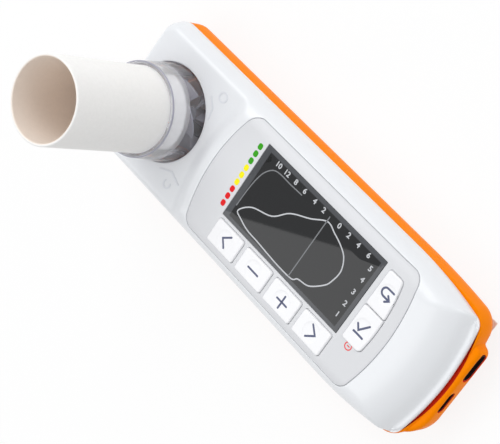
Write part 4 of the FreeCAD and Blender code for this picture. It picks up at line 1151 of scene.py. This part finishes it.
def swirl_blade(foot, height, twist):
    """One twisted blade about the origin's upright axis."""
    rises = np.linspace(0, 1, 19)
    reaches = np.linspace(BLADE_ROOT, BLADE_REACH, 9)
    points, faces = [], []
    for side in (-1, 1):
        for rise in rises:
            angle = twist * rise
            thin = 1 - 0.45 * abs(2 * rise - 1) ** 4
            for reach in reaches:
                aside = side * BLADE_THICKNESS / 2 * thin
                points.append((reach * math.cos(angle) - aside * math.sin(angle),
                               reach * math.sin(angle) + aside * math.cos(angle), foot + height * rise))
    rows, columns = len(rises), len(reaches)
    other = rows * columns
    for r in range(rows - 1):
        for c in range(columns - 1):
            a = r * columns + c
            quad = (a, a + 1, a + columns + 1, a + columns)
            faces += [quad, tuple(other + i for i in quad[::-1])]
    rim = [c for c in range(columns)] + [r * columns + columns - 1 for r in range(1, rows)]
    rim += [(rows - 1) * columns + c for c in range(columns - 2, -1, -1)]
    rim += [r * columns for r in range(rows - 2, 0, -1)]
    for a, b in zip(rim, rim[1:] + rim[:1]):
        faces.append((b, a, other + a, other + b))
    blade = mesh_object("blade", points, faces)
    face_outwards(blade)
    return blade


def deflector(name, foot, height, twist, bearing_below):
    """Swirl blades round a hub that holds a bearing at one end."""
    blades = repeated(name + "_blades", swirl_blade(foot + BLADE_SETBACK, height - 2 * BLADE_SETBACK, twist),
                      BLADES, (TUBE_X, 0, 0), (0, 0, 0), 2 * math.pi / BLADES, BLADE_SMOKE)
    top = foot + height
    if bearing_below:
        corners = [(BEARING_RADIUS, foot), (HUB_RADIUS, foot), (HUB_RADIUS, top), (0, top),
                   (0, foot + BEARING_HEIGHT), (BEARING_RADIUS, foot + BEARING_HEIGHT)]
        radii = [0.1, 0.2, 1.6, 0, 0, 0.1]
    else:
        corners = [(0, foot), (HUB_RADIUS, foot), (HUB_RADIUS, top), (BEARING_RADIUS, top),
                   (BEARING_RADIUS, top - BEARING_HEIGHT), (0, top - BEARING_HEIGHT)]
        radii = [0, 1.6, 0.2, 0.1, 0.1, 0]
    hub = turned_ring(name + "_hub", rounded_profile(corners, radii), count=64)
    return joined(name + "_skin", [blades, hub])


for name, *shape in (("front_deflector", 20.6, 7.6, BLADE_TWIST, True),
                     ("rear_deflector", 2.7, 6.0, -BLADE_TWIST, False)):
    finish_piece(deflector(name, *shape), BLADE_SMOKE, "turbine", name, slot="turbine_clear")

DOT_X, DOT_START, DOT_PITCH = -18.9, -6.9, 3.0


def led_dot():
    corners = [(-0.95, -1.15), (0.95, -1.15), (0.95, 1.15), (-0.95, 1.15)]
    return moulding("dot", rounded(corners, [0.8] * 4, 0.4), [], flat_top(PANEL_TOP + 0.06),
                    PANEL_TOP - 0.05, 5.0, 0.05)


for row, (color, material) in enumerate((("red", DOT_RED), ("yellow", DOT_YELLOW), ("green", DOT_GREEN))):
    dots = repeated("status_dots_" + color, led_dot(), 3, (DOT_X, DOT_START + 3 * row * DOT_PITCH, 0),
                    (0, DOT_PITCH, 0), 0.0, material)
    finish_piece(dots, material, "body")


def smooth_line(points, closed=False, steps=6):
    """Catmull-Rom curve through points."""
    count = len(points)
    result = []
    last = count if closed else count - 1
    for i in range(last):
        p = [np.array(points[k % count] if closed else points[min(max(k, 0), count - 1)], float)
             for k in (i - 1, i, i + 1, i + 2)]
        for s in range(steps):
            t = s / steps
            result.append(0.5 * (2 * p[1] + (p[2] - p[0]) * t
                                 + (2 * p[0] - 5 * p[1] + 4 * p[2] - p[3]) * t * t
                                 + (3 * p[1] - p[0] - 3 * p[2] + p[3]) * t ** 3))
    if not closed:
        result.append(np.array(points[-1], float))
    return np.array(result)


def stroked(name, lines, width, height, rise=0.03, sink=0.04):
    """Thin raised strokes of a round-ended pen along lines that lie on a height in plan."""
    points, faces = [], []
    for line in lines:
        line = np.array(line, float)
        moves = np.linalg.norm(np.diff(line, axis=0), axis=1)
        line = line[np.concatenate([[True], moves > 1e-6])]
        closed = bool(np.allclose(line[0], line[-1]))
        if closed:
            line = line[:-1]
            after, before = np.roll(line, -1, 0), np.roll(line, 1, 0)
        else:
            dense = [line[0]]
            for a, b in zip(line, line[1:]):
                count = max(1, int(np.linalg.norm(b - a) / 0.6))
                dense += [a + (b - a) * (i + 1) / count for i in range(count)]
            line = np.array(dense)
            start, end = line[0] - line[1], line[-1] - line[-2]
            start, end = start / np.linalg.norm(start), end / np.linalg.norm(end)
            line = np.concatenate([[line[0] + start * width * 0.45, line[0] + start * width * 0.3], line,
                                   [line[-1] + end * width * 0.3, line[-1] + end * width * 0.45]])
            after = np.concatenate([line[1:], line[-1:]])
            before = np.concatenate([line[:1], line[:-1]])
        along = after - line
        along[-1] = along[-1] if closed else line[-1] - line[-2]
        back = line - before
        back[0] = back[0] if closed else line[1] - line[0]
        along /= np.linalg.norm(along, axis=1, keepdims=True)
        back /= np.linalg.norm(back, axis=1, keepdims=True)
        mean = along + back
        mean /= np.maximum(np.linalg.norm(mean, axis=1, keepdims=True), 1e-9)
        mitre = 1 / np.maximum(np.sum(mean * along, 1), 0.6)
        half = np.full(len(line), width / 2) * mitre
        if not closed:
            half[[0, -1]] *= 0.35
            half[[1, -2]] *= 0.8
        side = np.stack([-mean[:, 1], mean[:, 0]], 1) * half[:, None]
        base = len(points)
        for place, reach in zip(line, side):
            left, right = place + reach, place - reach
            levels = height(np.array([left, right]))
            points += [(left[0], left[1], levels[0] + rise), (right[0], right[1], levels[1] + rise),
                       (right[0], right[1], levels[1] - sink), (left[0], left[1], levels[0] - sink)]
        count = len(line)
        for i in range(count if closed else count - 1):
            a, b = base + 4 * i, base + 4 * ((i + 1) % count)
            for k in range(4):
                faces.append((a + k, b + k, b + (k + 1) % 4, a + (k + 1) % 4))
        if not closed:
            last = base + 4 * (count - 1)
            faces += [(base, base + 1, base + 2, base + 3), (last + 3, last + 2, last + 1, last)]
    obj = mesh_object(name, points, faces)
    face_outwards(obj)
    return obj


def ring_line(x, y, radius, start=0.0, sweep=360.0, count=28):
    angles = np.radians(start + np.linspace(0, sweep, count))
    return np.stack([x + radius * np.cos(angles), y + radius * np.sin(angles)], 1)


def printed_numbers(name, labels, size):
    """Small printed numbers, each centred on its place on the window."""
    pieces = []
    for label, x, y in labels:
        curve = bpy.data.curves.new(name, "FONT")
        curve.body = label
        curve.size = size * MM
        curve.align_x, curve.align_y = "CENTER", "CENTER"
        curve.extrude = 0.02 * MM
        curve.offset = 0.07 * MM
        curve.resolution_u = 3
        holder = placed(name, curve)
        mesh = evaluated_mesh(holder)
        mesh.transform(Matrix.Translation((x * MM, y * MM, PANEL_TOP * MM)))
        bpy.data.objects.remove(holder, do_unlink=True)
        piece = placed(name, mesh)
        face_outwards(piece)
        pieces.append(piece)
    return joined(name, pieces)


on_window = flat_top(PANEL_TOP)
FLOW_LOOP = [(-12.4, -4.9), (-8.6, -0.5), (-0.5, 2.5), (4.6, 7.9), (11.7, 11.7), (17.5, 15.3), (21.9, 14.2),
             (26.2, 12.7), (29.6, 10.5), (31.6, 6.4), (31.0, 1.7), (29.6, -1.2), (25.3, -5.3), (20.7, -6.4),
             (18.7, -8.0), (12.2, -8.3), (5.2, -8.0), (0.1, -7.7), (-5.1, -7.5), (-9.4, -6.4)]
TIME_CURVE = [(-14.0, -3.9), (-13.9, -0.2), (-13.7, 3.6), (-13.2, 7.7), (-12.2, 11.3), (-10.0, 14.2),
              (-7.0, 15.2), (-1.6, 15.2), (4.2, 15.4)]
loop = smooth_line(FLOW_LOOP, closed=True)
finish_piece(stroked("flow_loop", [np.concatenate([loop, loop[:1]])], 0.45, on_window), SCREEN_LINE, "body")
finish_piece(stroked("time_curve", [smooth_line(TIME_CURVE), [(17.2, -8.0), (17.2, 17.0)]], 0.4, on_window),
             SCREEN_DIM, "body")
ROW_NUMBERS = zip(("10", "12", "8", "6", "4", "2", "0", "2", "4", "6"),
                  (-9.1, -4.8, -0.2, 4.4, 9.5, 14.0, 21.8, 26.5, 31.2, 36.2))
COLUMN_NUMBERS = zip(("5", "4", "3", "2", "1"), (14.3, 9.7, 4.6, -0.3, -4.8))
labels = [(label, x, 17.1) for label, x in ROW_NUMBERS] + [(label, 39.4, y) for label, y in COLUMN_NUMBERS]
finish_piece(printed_numbers("screen_numbers", labels, 2.7), SCREEN_LINE, "body")

KEY_SIGNS = {
    "key_back": [[(-8.1, -13.3), (-11.0, -15.8), (-8.6, -18.3)]],
    "key_minus": [[(3.2, -16.2), (8.2, -16.2)]],
    "key_plus": [[(18.6, -16.2), (23.4, -16.2)], [(21.0, -13.8), (21.0, -18.6)]],
    "key_forward": [[(34.9, -13.3), (37.8, -15.8), (34.9, -18.3)]],
    "key_escape": [[(51.3, 11.2), (48.6, 11.2), *ring_line(48.6, 12.7, 1.5, 270, -180, 12), (51.3, 14.2)],
                   [(50.0, 10.0), (51.3, 11.2), (50.0, 12.4)]],
    "key_confirm": [[(47.2, -1.4), (48.7, -3.1), (51.4, 0.6)], [(47.5, -4.3), (51.6, -4.3)]],
}
for name, lines in KEY_SIGNS.items():
    finish_piece(stroked(name + "_sign", lines, 0.7, key_height(name)), GLYPH_SLATE, name + "_body")
finish_piece(stroked("power_sign", [ring_line(49.0, -9.8, 1.3), [(48.6, -9.8), (49.5, -9.8)]], 0.42,
                     front_height), GLYPH_RED, "body")
EMBOSSED = [ring_line(-43.0, 19.3, 1.7), [(-47.2, 16.5), (-44.2, 13.7), (-43.3, 9.7)],
            [(-49.2, -16.3), (-44.0, -14.0), (-39.1, -15.8)],
            ring_line(-43.2, -18.6, 1.5, 150, 240)]
finish_piece(stroked("embossed_marks", EMBOSSED, 0.6, front_height, 0.16, 0.1), EMBOSSED_GREY, "body")

# floor, light and background

FLOOR_REACH, FLOOR_LEVEL = 3.0, -0.00003
FLOOR_WHITE = 0.86
UNDER_GAP = 0.002
CASE_COVERS = (("X", 0.075), ("Y", 0.022))
WORLD_LIT, WORLD_SEEN = 0.54, 1.0


def white_floor():
    """A floor that is seen white, but not under the case, and lets light in from below."""
    mesh = bpy.data.meshes.new("floor")
    mesh.from_pydata([(x * FLOOR_REACH, y * FLOOR_REACH, FLOOR_LEVEL)
                      for x, y in ((-1, -1), (1, -1), (1, 1), (-1, 1))], [], [(0, 1, 2, 3)])
    floor = placed("floor", mesh)
    material, tree, shader = shaded("FloorWhite")
    feed(tree, shader, {"Base Color": (0.95, 0.95, 0.95, 1.0), "Roughness": 0.9, "Specular IOR Level": 0.0})
    rays = node(tree, "ShaderNodeLightPath").outputs
    parts = separated(tree, object_place(tree))
    beside = [math_node(tree, "GREATER_THAN", math_node(tree, "ABSOLUTE", parts[axis]), half)
              for axis, half in CASE_COVERS]
    seen = math_node(tree, "MULTIPLY", straight_or_mirrored(tree, rays), math_node(tree, "MAXIMUM", *beside))
    white = node(tree, "ShaderNodeEmission").outputs["Emission"]
    whitened = mix_shader(tree, math_node(tree, "MULTIPLY", seen, FLOOR_WHITE), shader.outputs["BSDF"], white)
    close = math_node(tree, "LESS_THAN", rays["Ray Length"], UNDER_GAP)
    bounced = math_node(tree, "MAXIMUM", rays["Is Diffuse Ray"], rays["Is Shadow Ray"])
    below = node(tree, "ShaderNodeNewGeometry").outputs["Backfacing"]
    opened = math_node(tree, "MAXIMUM", math_node(tree, "MULTIPLY", close, bounced), below)
    clear = node(tree, "ShaderNodeBsdfTransparent").outputs["BSDF"]
    feed(tree, tree.nodes["Material Output"], {"Surface": mix_shader(tree, opened, whitened, clear)})
    floor.data.materials.append(material)


def studio_world():
    """A pale surround that lights less than it is seen."""
    world = bpy.data.worlds.new("studio")
    world.use_nodes = True
    bpy.context.scene.world = world
    tree = world.node_tree
    seen = straight_or_mirrored(tree, node(tree, "ShaderNodeLightPath").outputs)
    feed(tree, tree.nodes["Background"], {"Color": (0.98, 0.99, 1.0, 1.0),
                                          "Strength": map_range(tree, seen, result=(WORLD_LIT, WORLD_SEEN))})


def soft_light(name, location, back, side, size, power):
    """A rectangular light that shines away from its back, with its first edge along its side."""
    data = bpy.data.lights.new(name, "AREA")
    data.shape = "RECTANGLE"
    data.size, data.size_y = size
    data.energy = power
    back, side = [np.array(way, float) / np.linalg.norm(way) for way in (back, side)]
    turned = np.eye(4)
    turned[:3] = np.stack([side, np.cross(back, side), back, location], axis=1)
    placed(name, data).matrix_world = Matrix(turned.tolist())


white_floor()
studio_world()
for name, place, size, power in (("key_light", (-0.42, 0.44, 0.85), (0.7, 0.7), 4.3),
                                 ("fill_light", (0.5, 0.85, 0.25), (0.6, 0.6), 1.6)):
    soft_light(name, place, place, np.cross((0, 0, 1), place), size, power)
soft_light("window_card", (-0.3462, -0.5594, 0.9), (0, 0, 1), (0.895, 0.446, 0), (1.4, 0.4), 3.0)

bpy.context.scene.view_settings.view_transform = "Standard"
